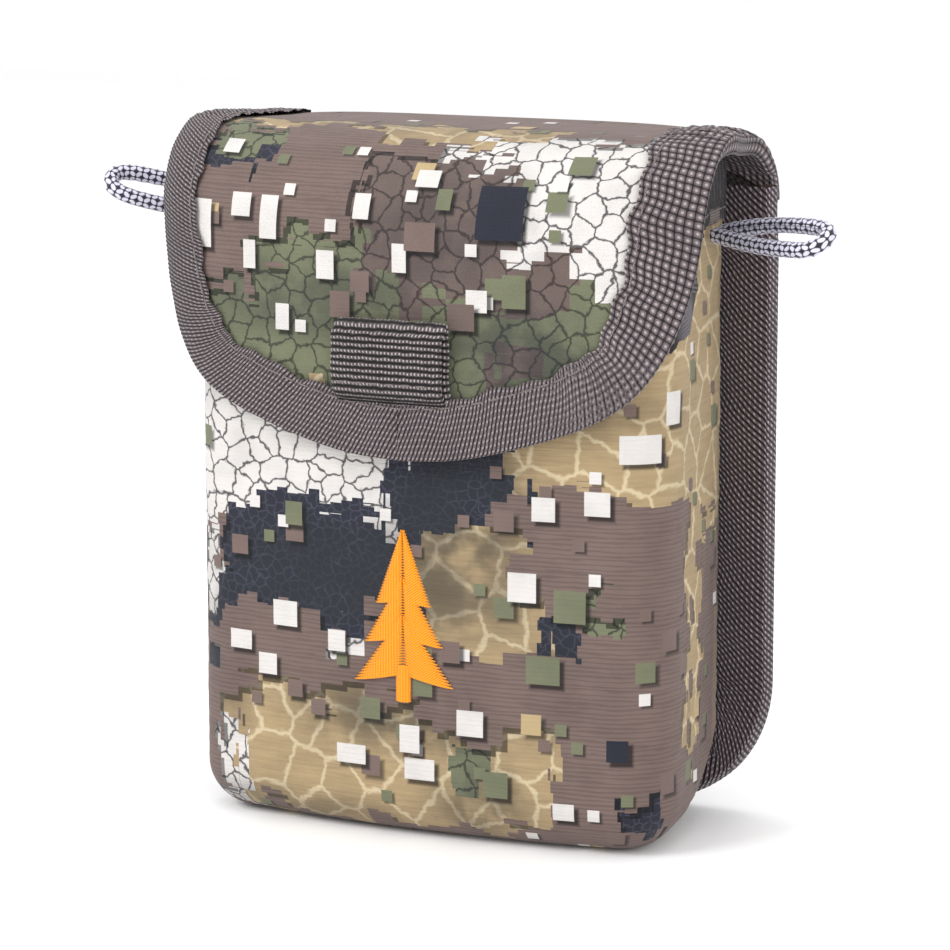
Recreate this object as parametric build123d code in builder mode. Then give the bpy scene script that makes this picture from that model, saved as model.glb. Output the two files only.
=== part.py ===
"""Soft moulded pouch for a laser rangefinder, with a fold-over flap.

Millimetres, +Z up, the front faces -Y. The origin is the centre of the footprint, on the
surface that the pouch stands on. Every layer of the shell, the back panel and the flap is a
solid of its own. The flap turns about an edge at the top of the back panel.
"""
import os
from math import asin, cos, pi, radians, sin, sqrt, tan

from build123d import *

# --- shell: a cup open at the back, where the back panel closes it, and at the top ---
SHELL_FRONT_Y = -21.0        # outer face at the middle of the front
LIP_Y = 21.0                 # front face of the sewing lip
SHELL_HALF_FRONT = 48.65     # half width at the front corners
SHELL_HALF_BACK = 44.2       # half width where the side walls meet the lip
SHELL_CROWN = 4.65           # how far the front bulges over its half width
SHELL_CORNER_R = 11.1        # vertical front corners
SHELL_BASE_R = 8.9           # rounded edge round the base
BASE_RISE = 10.4             # the base curves up by this much to meet the lip
SHELL_SKIN_T = 0.7
SHELL_FOAM_T = 2.5
SHELL_LINING_T = 0.4
SHELL_T = SHELL_SKIN_T + SHELL_FOAM_T + SHELL_LINING_T

# --- mouth of the shell: level at the sides, then a quarter round down to the front ---
MOUTH_Z = 124.0
MOUTH_ARC_Y = 9.0            # centre of the quarter round
MOUTH_ARC_Z = 104.0
MOUTH_FRONT_Z = 103.0

# --- webbing tape, folded over an edge ---
TAPE_T = 0.55
TAPE_W = 10.6
RIM_TAPE_W = 11.0

# --- back panel: lip, lining, foam, stiffener and skin sewn together ---
PANEL_HALF_W = 55.0
PANEL_CORNER_R = 25.0
LIP_SKIN_T = 0.6
LIP_FOAM_T = 0.8
BACK_LINING_T = 0.4
BACK_FOAM_T = 2.2
BACK_STIFFENER_T = 0.8
BACK_SKIN_T = 0.6
BACK_LINING_Y = LIP_Y + LIP_SKIN_T + LIP_FOAM_T
BACK_FOAM_Y = BACK_LINING_Y + BACK_LINING_T
BACK_STIFFENER_Y = BACK_FOAM_Y + BACK_FOAM_T
BACK_SKIN_Y = BACK_STIFFENER_Y + BACK_STIFFENER_T
BACK_Y = BACK_SKIN_Y + BACK_SKIN_T
BACK_TAPE_Y = BACK_Y + TAPE_T
PANEL_INSET = TAPE_T + 0.05  # the panel's layers stop just inside the tape's fold

# --- flap hinge: an edge along X at the back face of the panel ---
HINGE_Y = BACK_TAPE_Y + 0.05
HINGE_Z = 119.0
HINGE_GAP = 0.3

# --- flap: a bent sheet with a bulging front ---
FLAP_T = 3.3
FLAP_GAP = TAPE_T + 0.55      # clears the rim tape and its stitches
FLAP_FRONT_Y = SHELL_FRONT_Y - FLAP_GAP - FLAP_T
FLAP_TOP_Z = 130.2
FLAP_BLOCK_BASE_Z = 60.0
FLAP_FRONT_R = 258.0         # crown of the front in plan
FLAP_SHOULDER_X = 36.0       # where the tighter shoulder begins
FLAP_SHOULDER_R = 29.1
FLAP_SHOULDER_END_DEG = 46.5
FLAP_BEND_R = 20.0           # bend from the front to the top
FLAP_REAR_R = 8.0            # bend from the top down to the hinge
FLAP_HALF_W = 53.7
FLAP_WAIST_HALF_W = 50.5
FLAP_WAIST_Y = 8.0
FLAP_TIP_Z = 72.0
FLAP_SIDE_Z = 113.0          # above this the flap's sides are straight
FLAP_SKIN_T = 0.6
FLAP_FOAM_T = 1.2
FLAP_LINING_T = 0.4

# --- closure magnets ---
MAGNET_R = 6.0
MAGNET_Z = 90.0
FLAP_MAGNET_T = 0.9
SHELL_MAGNET_T = 1.8
MAGNET_CLEARANCE = 0.1

# --- pull tab ---
TAB_X = -2.1
TAB_HALF_W = 11.6
TAB_ROOT_Z = 82.9
TAB_TOP_Z = 96.9
TAB_LEAF_T = 1.1
TAB_SLOT = 0.3
TAB_T = 2 * TAB_LEAF_T + TAB_SLOT
TAB_AXIS_Y = FLAP_FRONT_Y - TAB_T / 2 - 0.15

# --- belt loop on the back ---
BELT_HALF_W = 19.0
BELT_BOTTOM_Z = 28.0
BELT_TOP_Z = 100.0
BELT_T = 1.6
BELT_SEW = 13.0              # length sewn down at each end
BELT_GAP = 4.8               # room for the belt
BELT_RAMP = 5.0

# --- stitches ---
STITCH_LENGTH = 2.2
STITCH_PITCH = 3.0
STITCH_W = 0.5
STITCH_T = 0.25
STITCH_INSET = 8.6           # distance from the folded edge to the seam

# --- bar tacks that hold the cords' ends under the rim tape ---
TACK_COUNT = 6
TACK_START_Y = 8.3
TACK_PITCH = 1.2
TACK_Z = 114.0

# --- cord loops ---
CORD_D = 3.0
CORD_ROUND_SHARE = 0.45      # share of the shorter run that each arc uses

# --- emblem ---
EMBLEM_X = -1.1
EMBLEM_BASE_Z = 26.2
EMBLEM_H = 31.7
EMBLEM_HALF_W = 9.6
EMBLEM_T = 0.6


def finish(part, name):
    """Labels a piece and writes it."""
    part.label = name
    export_step(part, f"parts/{name}.step")


# ---------------------------------------------------------------- shell

def cup(inset):
    """The shell's outer form, drawn in by inset, as a solid that runs past the lip and the mouth."""
    slope = (SHELL_HALF_BACK - SHELL_HALF_FRONT) / (LIP_Y - SHELL_FRONT_Y - SHELL_CROWN)
    beyond = LIP_Y + 12.0
    half_beyond = SHELL_HALF_BACK + slope * (beyond - LIP_Y)
    corner_y = SHELL_FRONT_Y + SHELL_CROWN
    rise_r = (LIP_Y ** 2 + BASE_RISE ** 2) / (2 * BASE_RISE)
    with BuildPart() as body:
        with BuildSketch(Plane.XY.offset(inset)):
            with BuildLine():
                Polyline((SHELL_HALF_FRONT, corner_y), (half_beyond, beyond),
                         (-half_beyond, beyond), (-SHELL_HALF_FRONT, corner_y))
                ThreePointArc((-SHELL_HALF_FRONT, corner_y), (0, SHELL_FRONT_Y),
                              (SHELL_HALF_FRONT, corner_y))
            make_face()
            front = vertices().group_by(Axis.Y)[0]
            fillet(front, SHELL_CORNER_R)
            if inset:
                offset(amount=-inset, kind=Kind.INTERSECTION, mode=Mode.REPLACE)
        extrude(amount=FLAP_TOP_Z - inset)
        base = faces().sort_by(Axis.Z)[0]
        base_edges = base.edges() - base.edges().filter_by(GeomType.LINE).sort_by(Axis.Y)[-1:]
        fillet(base_edges, SHELL_BASE_R - inset)
        with BuildSketch(Plane.YZ):
            with BuildLine():
                Line((0, inset), (0, -10))
                Line((0, -10), (beyond, -10))
                Line((beyond, -10), (beyond, rise_r))
                Line((beyond, rise_r), (rise_r - inset, rise_r))
                RadiusArc((rise_r - inset, rise_r), (0, inset), rise_r - inset)
            make_face()
        extrude(amount=80, both=True, mode=Mode.SUBTRACT)
    return body.part


def mouth_cutter(drop=0.0):
    """Everything above the mouth's edge, lowered by drop."""
    r = MOUTH_Z - MOUTH_ARC_Z
    with BuildPart() as cutter:
        with BuildSketch(Plane.YZ):
            with BuildLine():
                Polyline((60, MOUTH_Z - drop), (60, 200), (-60, 200), (-60, MOUTH_FRONT_Z - drop),
                         (MOUTH_ARC_Y - r + drop, MOUTH_FRONT_Z - drop),
                         (MOUTH_ARC_Y - r + drop, MOUTH_ARC_Z))
                RadiusArc((MOUTH_ARC_Y - r + drop, MOUTH_ARC_Z), (MOUTH_ARC_Y, MOUTH_Z - drop), r - drop)
                Line((MOUTH_ARC_Y, MOUTH_Z - drop), (60, MOUTH_Z - drop))
            make_face()
        extrude(amount=80, both=True)
    return cutter.part


def slab_y(low, high):
    """A wide block between two planes across Y, for cutting the shell's layers."""
    with BuildPart() as slab:
        with BuildSketch(Plane.XZ.offset(-high)):
            Rectangle(200, 400)
        extrude(amount=high - low)
    return slab.part


def panel_outline(inset, low_y, high_y, top_z=HINGE_Z - HINGE_GAP, half_w=PANEL_HALF_W):
    """A plate of the back panel's shape, drawn in by inset, between two planes across Y."""
    r = PANEL_CORNER_R - inset
    half = half_w - inset
    with BuildPart() as plate:
        with BuildSketch(Plane.XZ.offset(-high_y)):
            with BuildLine():
                Line((-half, top_z), (-half, inset + r))
                RadiusArc((-half, inset + r), (-half + r, inset), -r)
                Line((-half + r, inset), (half - r, inset))
                RadiusArc((half - r, inset), (half, inset + r), -r)
                Line((half, inset + r), (half, top_z))
                Line((half, top_z), (-half, top_z))
            make_face()
        extrude(amount=high_y - low_y)
    return plate.part


def shell_layer(outer, inner, end_y, mouth_drop=TAPE_T + 0.05):
    """One layer of the shell's wall, trimmed at the mouth and at end_y towards the back panel."""
    with BuildPart() as layer:
        add(cup(outer))
        add(cup(inner), mode=Mode.SUBTRACT)
        add(mouth_cutter(mouth_drop), mode=Mode.SUBTRACT)
        add(slab_y(end_y, end_y + 60), mode=Mode.SUBTRACT)
    return layer.part


def lip(low_y, high_y, opening_inset):
    """The flat lip behind the shell, open where the pocket is."""
    with BuildPart() as plate:
        add(panel_outline(PANEL_INSET, low_y, high_y))
        add(cup(opening_inset), mode=Mode.SUBTRACT)
    return plate.part


LINING_INSET = SHELL_SKIN_T + SHELL_FOAM_T

with BuildPart() as shell_skin:
    add(shell_layer(0, SHELL_SKIN_T, LIP_Y + LIP_SKIN_T))
    add(lip(LIP_Y, LIP_Y + LIP_SKIN_T, SHELL_SKIN_T))
finish(shell_skin.part, "shell_skin")

with BuildPart() as magnet_pocket:
    with BuildSketch(Plane.XZ.offset(-SHELL_FRONT_Y - LINING_INSET)):
        with Locations((0, MAGNET_Z)):
            Circle(MAGNET_R + MAGNET_CLEARANCE)
    extrude(amount=SHELL_MAGNET_T + MAGNET_CLEARANCE)

with BuildPart() as shell_foam:
    add(shell_layer(SHELL_SKIN_T, LINING_INSET, BACK_LINING_Y))
    add(lip(LIP_Y + LIP_SKIN_T, BACK_LINING_Y, SHELL_SKIN_T))
    add(magnet_pocket.part, mode=Mode.SUBTRACT)
finish(shell_foam.part, "shell_foam")

with BuildPart() as shell_lining:
    add(shell_layer(LINING_INSET, SHELL_T, BACK_LINING_Y))
finish(shell_lining.part, "shell_lining")

with BuildPart() as shell_magnet:
    with BuildSketch(Plane.XZ.offset(-SHELL_FRONT_Y - LINING_INSET + MAGNET_CLEARANCE / 2)):
        with Locations((0, MAGNET_Z)):
            Circle(MAGNET_R)
    extrude(amount=SHELL_MAGNET_T)
    fillet(edges().filter_by(GeomType.CIRCLE), 0.2)
finish(shell_magnet.part, "shell_magnet")

RIM_END_Y = LIP_Y - TAPE_T - 0.05
with BuildPart() as rim_binding:
    add(shell_layer(-TAPE_T, SHELL_T + TAPE_T, RIM_END_Y, mouth_drop=0))
    add(shell_layer(0, SHELL_T, LIP_Y), mode=Mode.SUBTRACT)
    add(mouth_cutter(RIM_TAPE_W), mode=Mode.INTERSECT)
finish(rim_binding.part, "rim_binding")


# ---------------------------------------------------------------- back panel

def tape_ring(inset, low_y, high_y):
    """The back panel's border, as wide as the tape."""
    with BuildPart() as ring:
        add(panel_outline(inset, low_y, high_y))
        add(panel_outline(TAPE_W, low_y, high_y, top_z=HINGE_Z + 1), mode=Mode.SUBTRACT)
    return ring.part


for layer_name, layer_y, layer_t in (("back_lining", BACK_LINING_Y, BACK_LINING_T),
                                     ("back_foam", BACK_FOAM_Y, BACK_FOAM_T),
                                     ("back_stiffener", BACK_STIFFENER_Y, BACK_STIFFENER_T),
                                     ("back_skin", BACK_SKIN_Y, BACK_SKIN_T)):
    finish(panel_outline(PANEL_INSET, layer_y, layer_y + layer_t), layer_name)

with BuildPart() as back_binding:
    add(tape_ring(0, LIP_Y - TAPE_T, BACK_TAPE_Y))
    add(panel_outline(PANEL_INSET - 0.05, LIP_Y, BACK_Y, top_z=HINGE_Z + 1), mode=Mode.SUBTRACT)
    add(cup(-0.1), mode=Mode.SUBTRACT)
finish(back_binding.part, "back_binding")


# ---------------------------------------------------------------- flap

def flap_block(inset):
    """The flap's outer form drawn in by inset: a block with a bulging front and rounded top edges."""
    half = FLAP_HALF_W + 4.3
    shoulder = asin(FLAP_SHOULDER_X / FLAP_FRONT_R)
    end = radians(FLAP_SHOULDER_END_DEG)
    shoulder_y = FLAP_FRONT_Y + FLAP_FRONT_R * (1 - cos(shoulder))
    centre_x = FLAP_SHOULDER_X - FLAP_SHOULDER_R * sin(shoulder)
    centre_y = shoulder_y + FLAP_SHOULDER_R * cos(shoulder)
    end_x = centre_x + FLAP_SHOULDER_R * sin(end)
    end_y = centre_y - FLAP_SHOULDER_R * cos(end)
    middle = (shoulder + end) / 2
    mid_x = centre_x + FLAP_SHOULDER_R * sin(middle)
    mid_y = centre_y - FLAP_SHOULDER_R * cos(middle)
    side_y = end_y + (half - end_x) * tan(end)
    with BuildPart() as block:
        with BuildSketch(Plane.XY.offset(FLAP_BLOCK_BASE_Z)):
            with BuildLine():
                ThreePointArc((-FLAP_SHOULDER_X, shoulder_y), (0, FLAP_FRONT_Y),
                              (FLAP_SHOULDER_X, shoulder_y))
                ThreePointArc((FLAP_SHOULDER_X, shoulder_y), (mid_x, mid_y), (end_x, end_y))
                Polyline((end_x, end_y), (half, side_y), (half, BACK_TAPE_Y),
                         (-half, BACK_TAPE_Y), (-half, side_y), (-end_x, end_y))
                ThreePointArc((-end_x, end_y), (-mid_x, mid_y), (-FLAP_SHOULDER_X, shoulder_y))
            make_face()
            if inset:
                offset(amount=-inset, kind=Kind.INTERSECTION, mode=Mode.REPLACE)
        extrude(amount=FLAP_TOP_Z - inset - FLAP_BLOCK_BASE_Z)
        top_edges = faces().sort_by(Axis.Z)[-1].edges()
        rear_edge = top_edges.filter_by(GeomType.LINE).sort_by(Axis.Y)[-1]
        front_edges = top_edges.filter_by(lambda e: abs(e.tangent_at(0.5).Y) < 0.9) - ShapeList([rear_edge])
        fillet(front_edges, FLAP_BEND_R - inset)
        fillet(edges().filter_by(GeomType.LINE).group_by(Axis.Z)[-1].sort_by(Axis.Y)[-1],
               FLAP_REAR_R - inset)
    return block.part


def flap_edge(inset, side):
    """One half of the flap's U-shaped edge seen from the front, from the side down to the tip."""
    half = FLAP_HALF_W - inset
    return Spline((side * half, FLAP_SIDE_Z), (side * (half - 4.2), 92.5 + inset / 2),
                  (side * (34 - inset / 3), 78.9 + inset), (0, FLAP_TIP_Z + inset),
                  tangents=((0, -1), (-side, 0)))


def flap_reach(inset):
    """What the flap covers, drawn in by inset: its U shape seen from the front, its waist from above."""
    half = FLAP_HALF_W - inset
    with BuildPart() as reach:
        with BuildSketch(Plane.XZ.offset(-60)):
            with BuildLine():
                flap_edge(inset, -1)
                flap_edge(inset, 1)
                Polyline((half, FLAP_SIDE_Z), (half, 150), (-half, 150), (-half, FLAP_SIDE_Z))
            make_face()
        extrude(amount=120)
        with BuildSketch(Plane.XY.offset(FLAP_BLOCK_BASE_Z)):
            with BuildLine():
                Polyline((-half, -10), (-half, -60), (half, -60), (half, -10))
                Spline((half, -10), (FLAP_WAIST_HALF_W - inset, FLAP_WAIST_Y), (half, 24),
                       tangents=((0, 1), (0, 1)))
                Polyline((half, 24), (half, 60), (-half, 60), (-half, 24))
                Spline((-half, 24), (-FLAP_WAIST_HALF_W + inset, FLAP_WAIST_Y), (-half, -10),
                       tangents=((0, -1), (0, -1)))
            make_face()
        extrude(amount=100, mode=Mode.INTERSECT)
    return reach.part


def flap_layer(outer, inner, reach_inset):
    """One layer of the flap between two depths below its outer face."""
    with BuildPart() as layer:
        add(flap_block(outer))
        add(flap_block(inner), mode=Mode.SUBTRACT)
        add(flap_reach(reach_inset), mode=Mode.INTERSECT)
        with Locations((0, 60, 0)):
            Box(200, 100, 2 * (HINGE_Z + HINGE_GAP), mode=Mode.SUBTRACT)
    return layer.part


SKIN_DEPTH = TAPE_T
FOAM_DEPTH = SKIN_DEPTH + FLAP_SKIN_T
LINING_DEPTH = FOAM_DEPTH + FLAP_FOAM_T
INNER_TAPE_DEPTH = LINING_DEPTH + FLAP_LINING_T

finish(flap_layer(SKIN_DEPTH, FOAM_DEPTH, PANEL_INSET), "flap_skin")

with BuildPart() as flap_foam:
    add(flap_layer(FOAM_DEPTH, LINING_DEPTH, PANEL_INSET))
    with BuildSketch(Plane.XZ.offset(-FLAP_FRONT_Y - LINING_DEPTH - 0.2)):
        with Locations((0, MAGNET_Z)):
            Circle(MAGNET_R + MAGNET_CLEARANCE)
    extrude(amount=FLAP_FOAM_T + 0.2, mode=Mode.SUBTRACT)
finish(flap_foam.part, "flap_foam")

finish(flap_layer(LINING_DEPTH, INNER_TAPE_DEPTH, PANEL_INSET), "flap_lining")

with BuildPart() as flap_magnet:
    with BuildSketch(Plane.XZ.offset(-FLAP_FRONT_Y - LINING_DEPTH + 0.1)):
        with Locations((0, MAGNET_Z)):
            Circle(MAGNET_R)
    extrude(amount=FLAP_MAGNET_T)
    fillet(edges().filter_by(GeomType.CIRCLE), 0.15)
finish(flap_magnet.part, "flap_magnet")

with BuildPart() as flap_binding:
    add(flap_layer(0, FLAP_T, 0))
    add(flap_layer(SKIN_DEPTH, INNER_TAPE_DEPTH, PANEL_INSET - 0.05), mode=Mode.SUBTRACT)
    add(flap_reach(TAPE_W), mode=Mode.SUBTRACT)
finish(flap_binding.part, "flap_binding")


# ---------------------------------------------------------------- pull tab

with BuildPart() as pull_tab:
    with BuildSketch(Plane.YZ.offset(TAB_X - TAB_HALF_W)):
        with Locations((TAB_AXIS_Y, (TAB_ROOT_Z + TAB_TOP_Z - TAB_T / 2) / 2)):
            SlotCenterToCenter(TAB_TOP_Z - TAB_T / 2 - TAB_ROOT_Z, TAB_T, rotation=90)
            Rectangle(TAB_SLOT, TAB_TOP_Z - TAB_ROOT_Z - 2 * TAB_T, mode=Mode.SUBTRACT)
    extrude(amount=2 * TAB_HALF_W)
finish(pull_tab.part, "pull_tab")


# ---------------------------------------------------------------- belt loop

with BuildPart() as belt_loop:
    with BuildSketch(Plane.YZ.offset(-BELT_HALF_W)):
        with BuildLine():
            near = BACK_Y
            far = near + BELT_GAP
            low_flat = BELT_BOTTOM_Z + BELT_SEW
            high_flat = BELT_TOP_Z - BELT_SEW
            Polyline((near, BELT_BOTTOM_Z), (near, low_flat), (far, low_flat + BELT_RAMP),
                     (far, high_flat - BELT_RAMP), (near, high_flat), (near, BELT_TOP_Z),
                     (near + BELT_T, BELT_TOP_Z), (near + BELT_T, high_flat + 0.8),
                     (far + BELT_T, high_flat - BELT_RAMP + 0.8), (far + BELT_T, low_flat + BELT_RAMP - 0.8),
                     (near + BELT_T, low_flat - 0.8), (near + BELT_T, BELT_BOTTOM_Z), close=True)
        make_face()
    extrude(amount=2 * BELT_HALF_W)
finish(belt_loop.part, "belt_loop")


# ---------------------------------------------------------------- emblem

EMBLEM_TIERS = ((0.16, 0.50, 1.00), (0.38, 0.72, 0.78), (0.60, 1.00, 0.54))   # base, top, width shares
EMBLEM_TRUNK_SHARE = 0.16

with BuildPart() as emblem:
    with BuildSketch(Plane.XZ.offset(-SHELL_FRONT_Y - 2)):
        for base_share, top_share, width_share in EMBLEM_TIERS:
            half = EMBLEM_HALF_W * width_share
            low = EMBLEM_BASE_Z + EMBLEM_H * base_share
            high = EMBLEM_BASE_Z + EMBLEM_H * top_share
            with BuildLine():
                Polyline((EMBLEM_X - half, low), (EMBLEM_X + half, low), (EMBLEM_X, high), close=True)
            make_face()
        with Locations((EMBLEM_X, EMBLEM_BASE_Z + EMBLEM_H * 0.12)):
            Rectangle(2 * EMBLEM_HALF_W * EMBLEM_TRUNK_SHARE, EMBLEM_H * 0.24)
    extrude(amount=6)
    add(cup(-EMBLEM_T), mode=Mode.INTERSECT)
    add(cup(0), mode=Mode.SUBTRACT)
finish(emblem.part, "emblem")


# ---------------------------------------------------------------- stitches

def along(path, place):
    """Planes for the stitches of one row: place turns a point and a tangent of path into a plane."""
    count = int(path.length / STITCH_PITCH)
    planes = []
    for step in range(count):
        share = (step + 0.5) / count
        planes.append(place(path.position_at(share), path.tangent_at(share)))
    return planes


def stitches(name, planes):
    """One node of equal thread stitches, each a solid of its own."""
    with BuildPart() as row:
        with Locations(*planes):
            Box(STITCH_LENGTH, STITCH_W, STITCH_T, align=(Align.CENTER, Align.CENTER, Align.MIN))
    finish(row.part, name)


def on_back(point, tangent):
    """A stitch on the back face of the panel's tape."""
    return Plane(origin=(point.X, BACK_TAPE_Y, point.Y), x_dir=(tangent.X, 0, tangent.Y), z_dir=(0, 1, 0))


def on_lip(point, tangent):
    """A stitch on the front face of the panel's tape."""
    return Plane(origin=(point.X, LIP_Y - TAPE_T, point.Y), x_dir=(tangent.X, 0, tangent.Y),
                 z_dir=(0, -1, 0))


def on_flap(point, tangent):
    """A stitch on the outer face of the flap's bulging front."""
    side = 1 if point.X >= 0 else -1
    reach = abs(point.X)
    shoulder = asin(FLAP_SHOULDER_X / FLAP_FRONT_R)
    if reach <= FLAP_SHOULDER_X:
        turn = asin(reach / FLAP_FRONT_R)
        y = FLAP_FRONT_Y + FLAP_FRONT_R * (1 - cos(turn))
    else:
        centre_x = FLAP_SHOULDER_X - FLAP_SHOULDER_R * sin(shoulder)
        turn = asin((reach - centre_x) / FLAP_SHOULDER_R)
        shoulder_y = FLAP_FRONT_Y + FLAP_FRONT_R * (1 - cos(shoulder))
        y = shoulder_y + FLAP_SHOULDER_R * (cos(shoulder) - cos(turn))
    slope = side * tan(turn)
    return Plane(origin=(point.X, y, point.Y), x_dir=(tangent.X, tangent.X * slope, tangent.Y),
                 z_dir=(slope, -1, 0))


def on_belt_loop(point, tangent):
    """A stitch on the outer face of the belt loop's sewn ends."""
    return Plane(origin=(point.X, BACK_Y + BELT_T, point.Y), x_dir=(tangent.X, 0, tangent.Y),
                 z_dir=(0, 1, 0))


def on_tab(point, tangent):
    """A stitch on the outer face of the pull tab."""
    return Plane(origin=(point.X, TAB_AXIS_Y - TAB_T / 2, point.Y), x_dir=(tangent.X, 0, tangent.Y),
                 z_dir=(0, -1, 0))


def on_rim_side(side):
    """Places stitches on one side wall's rim tape, from a point's Y and Z."""
    slope = (SHELL_HALF_BACK - SHELL_HALF_FRONT) / (LIP_Y - SHELL_FRONT_Y - SHELL_CROWN)

    def place(point, tangent):
        x = side * (SHELL_HALF_BACK + slope * (point.X - LIP_Y) + TAPE_T * sqrt(1 + slope ** 2))
        return Plane(origin=(x, point.X, point.Y), x_dir=(side * slope * tangent.X, tangent.X, tangent.Y),
                     z_dir=(side, -slope, 0))
    return place


def on_rim_front(point, tangent):
    """Places a stitch on the front wall's rim tape."""
    radius = (SHELL_HALF_FRONT ** 2 + SHELL_CROWN ** 2) / (2 * SHELL_CROWN) + TAPE_T
    turn = asin(point.X / radius)
    y = SHELL_FRONT_Y - TAPE_T + radius * (1 - cos(turn))
    return Plane(origin=(point.X, y, point.Y), x_dir=(tangent.X, tangent.X * tan(turn), tangent.Y),
                 z_dir=(tan(turn), -1, 0))


seam_half = PANEL_HALF_W - STITCH_INSET
seam_top = HINGE_Z - 4
panel_seam = FilletPolyline((-seam_half, seam_top), (-seam_half, STITCH_INSET),
                            (seam_half, STITCH_INSET), (seam_half, seam_top),
                            radius=PANEL_CORNER_R - STITCH_INSET)
back_planes = along(panel_seam, on_back)
for seam_x in (-seam_half, seam_half):
    back_planes += along(Line((seam_x, PANEL_CORNER_R + 4), (seam_x, 100)), on_lip)
stitches("back_stitches", back_planes)

flap_planes = []
for half_seam in (flap_edge(STITCH_INSET, -1), flap_edge(STITCH_INSET, 1)):
    flap_planes += along(half_seam.trim(0.12, 1), on_flap)
stitches("flap_stitches", flap_planes)

rim_seam_r = MOUTH_Z - MOUTH_ARC_Z - STITCH_INSET
rim_side_seam = Wire([Line((LIP_Y - 3, MOUTH_Z - STITCH_INSET), (MOUTH_ARC_Y, MOUTH_Z - STITCH_INSET)).edge(),
                      CenterArc((MOUTH_ARC_Y, MOUTH_ARC_Z), rim_seam_r, 90, 85).edge()])
rim_front_seam = Line((-SHELL_HALF_FRONT + 13, MOUTH_FRONT_Z - STITCH_INSET),
                      (SHELL_HALF_FRONT - 13, MOUTH_FRONT_Z - STITCH_INSET))
rim_planes = along(rim_front_seam, on_rim_front)
for wall in (1, -1):
    rim_planes += along(rim_side_seam, on_rim_side(wall))
stitches("rim_stitches", rim_planes)

tack_planes = []
for wall in (1, -1):
    for tack in range(TACK_COUNT):
        tack_y = TACK_START_Y + tack * TACK_PITCH
        tack_planes.append(on_rim_side(wall)(Vector(tack_y, TACK_Z), Vector(0, 1)))
stitches("loop_tacks", tack_planes)

box_half = BELT_HALF_W - 2.5
belt_planes = []
for sewn_z in (BELT_BOTTOM_Z + 1.5, BELT_TOP_Z - BELT_SEW + 1.5):
    top_z = sewn_z + BELT_SEW - 3.5
    corners = [(-box_half, sewn_z), (box_half, sewn_z), (box_half, top_z), (-box_half, top_z)]
    for start, stop in ((0, 1), (2, 3)):
        belt_planes += along(Line(corners[start], corners[stop]), on_belt_loop)
    for start_x, stop_x in ((-box_half, box_half), (box_half, -box_half)):
        lean = (top_z - sewn_z) / (2 * box_half)
        for share in (0.14, 0.26, 0.38, 0.62, 0.74, 0.86):
            x = start_x + (stop_x - start_x) * share
            z = sewn_z + (top_z - sewn_z) * share
            rise = lean if stop_x > start_x else -lean
            belt_planes.append(on_belt_loop(Vector(x, z), Vector(1, rise)))
stitches("belt_stitches", belt_planes)

tab_seam = Line((TAB_X - TAB_HALF_W + 1.2, TAB_ROOT_Z + 2), (TAB_X + TAB_HALF_W - 1.2, TAB_ROOT_Z + 2))
stitches("tab_stitches", along(tab_seam, on_tab))


# ---------------------------------------------------------------- cord loops

RIGHT_LOOP = [(47.3, 12.8, 110.9), (54.5, 10.0, 112.7), (63.3, 6.1, 113.8), (72.8, 1.4, 113.9),
              (70.6, -3.0, 110.4), (62.0, 1.3, 109.9), (54.2, 5.3, 110.0), (47.3, 8.7, 110.9)]
LEFT_LOOP = [(-47.3, 12.8, 110.9), (-54.6, 10.1, 113.5), (-63.4, 6.0, 116.4), (-72.9, 1.2, 118.4),
             (-71.2, -3.2, 114.8), (-62.4, 1.1, 111.9), (-54.3, 5.2, 110.9), (-47.3, 8.7, 110.9)]


def arc_radii(route):
    """The largest arcs that the runs allow at the route's corners."""
    points = [Vector(*place) for place in route]
    radii = []
    for before, corner, after in zip(points, points[1:], points[2:]):
        turn = (corner - before).get_angle(after - corner)
        shorter = min((corner - before).length, (after - corner).length)
        radii.append(CORD_ROUND_SHARE * shorter / tan(radians(turn) / 2))
    return radii


for cord_name, route in (("cord_loop_right", RIGHT_LOOP), ("cord_loop_left", LEFT_LOOP)):
    radii = arc_radii(route)
    line = FilletPolyline(*route, radius=radii)
    start = Vector(*route[0])
    with BuildPart() as cord_loop:
        with BuildSketch(Plane(origin=start, z_dir=Vector(*route[1]) - start)):
            Circle(CORD_D / 2)
        sweep(path=line)
        with Locations(route[0], route[-1]):
            Sphere(CORD_D / 2)
    finish(cord_loop.part, cord_name)
    print(cord_name, "length", round(line.length, 1), "radii", [round(r, 1) for r in radii],
          "volume", round(cord_loop.part.volume), "tube", round(pi * CORD_D ** 2 / 4 * line.length))
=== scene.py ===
"""Looks of the rangefinder pouch: camouflage shell and flap, woven tapes, webbing tab, braided loops.

Shapes are worked out in millimetres and turned into metres when a mesh is made. The frame is the
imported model's: +Z up, the front faces -Y, the origin is on the floor under the pouch.
"""
from math import asin, atan2, cos, pi, radians, sin, sqrt

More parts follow.
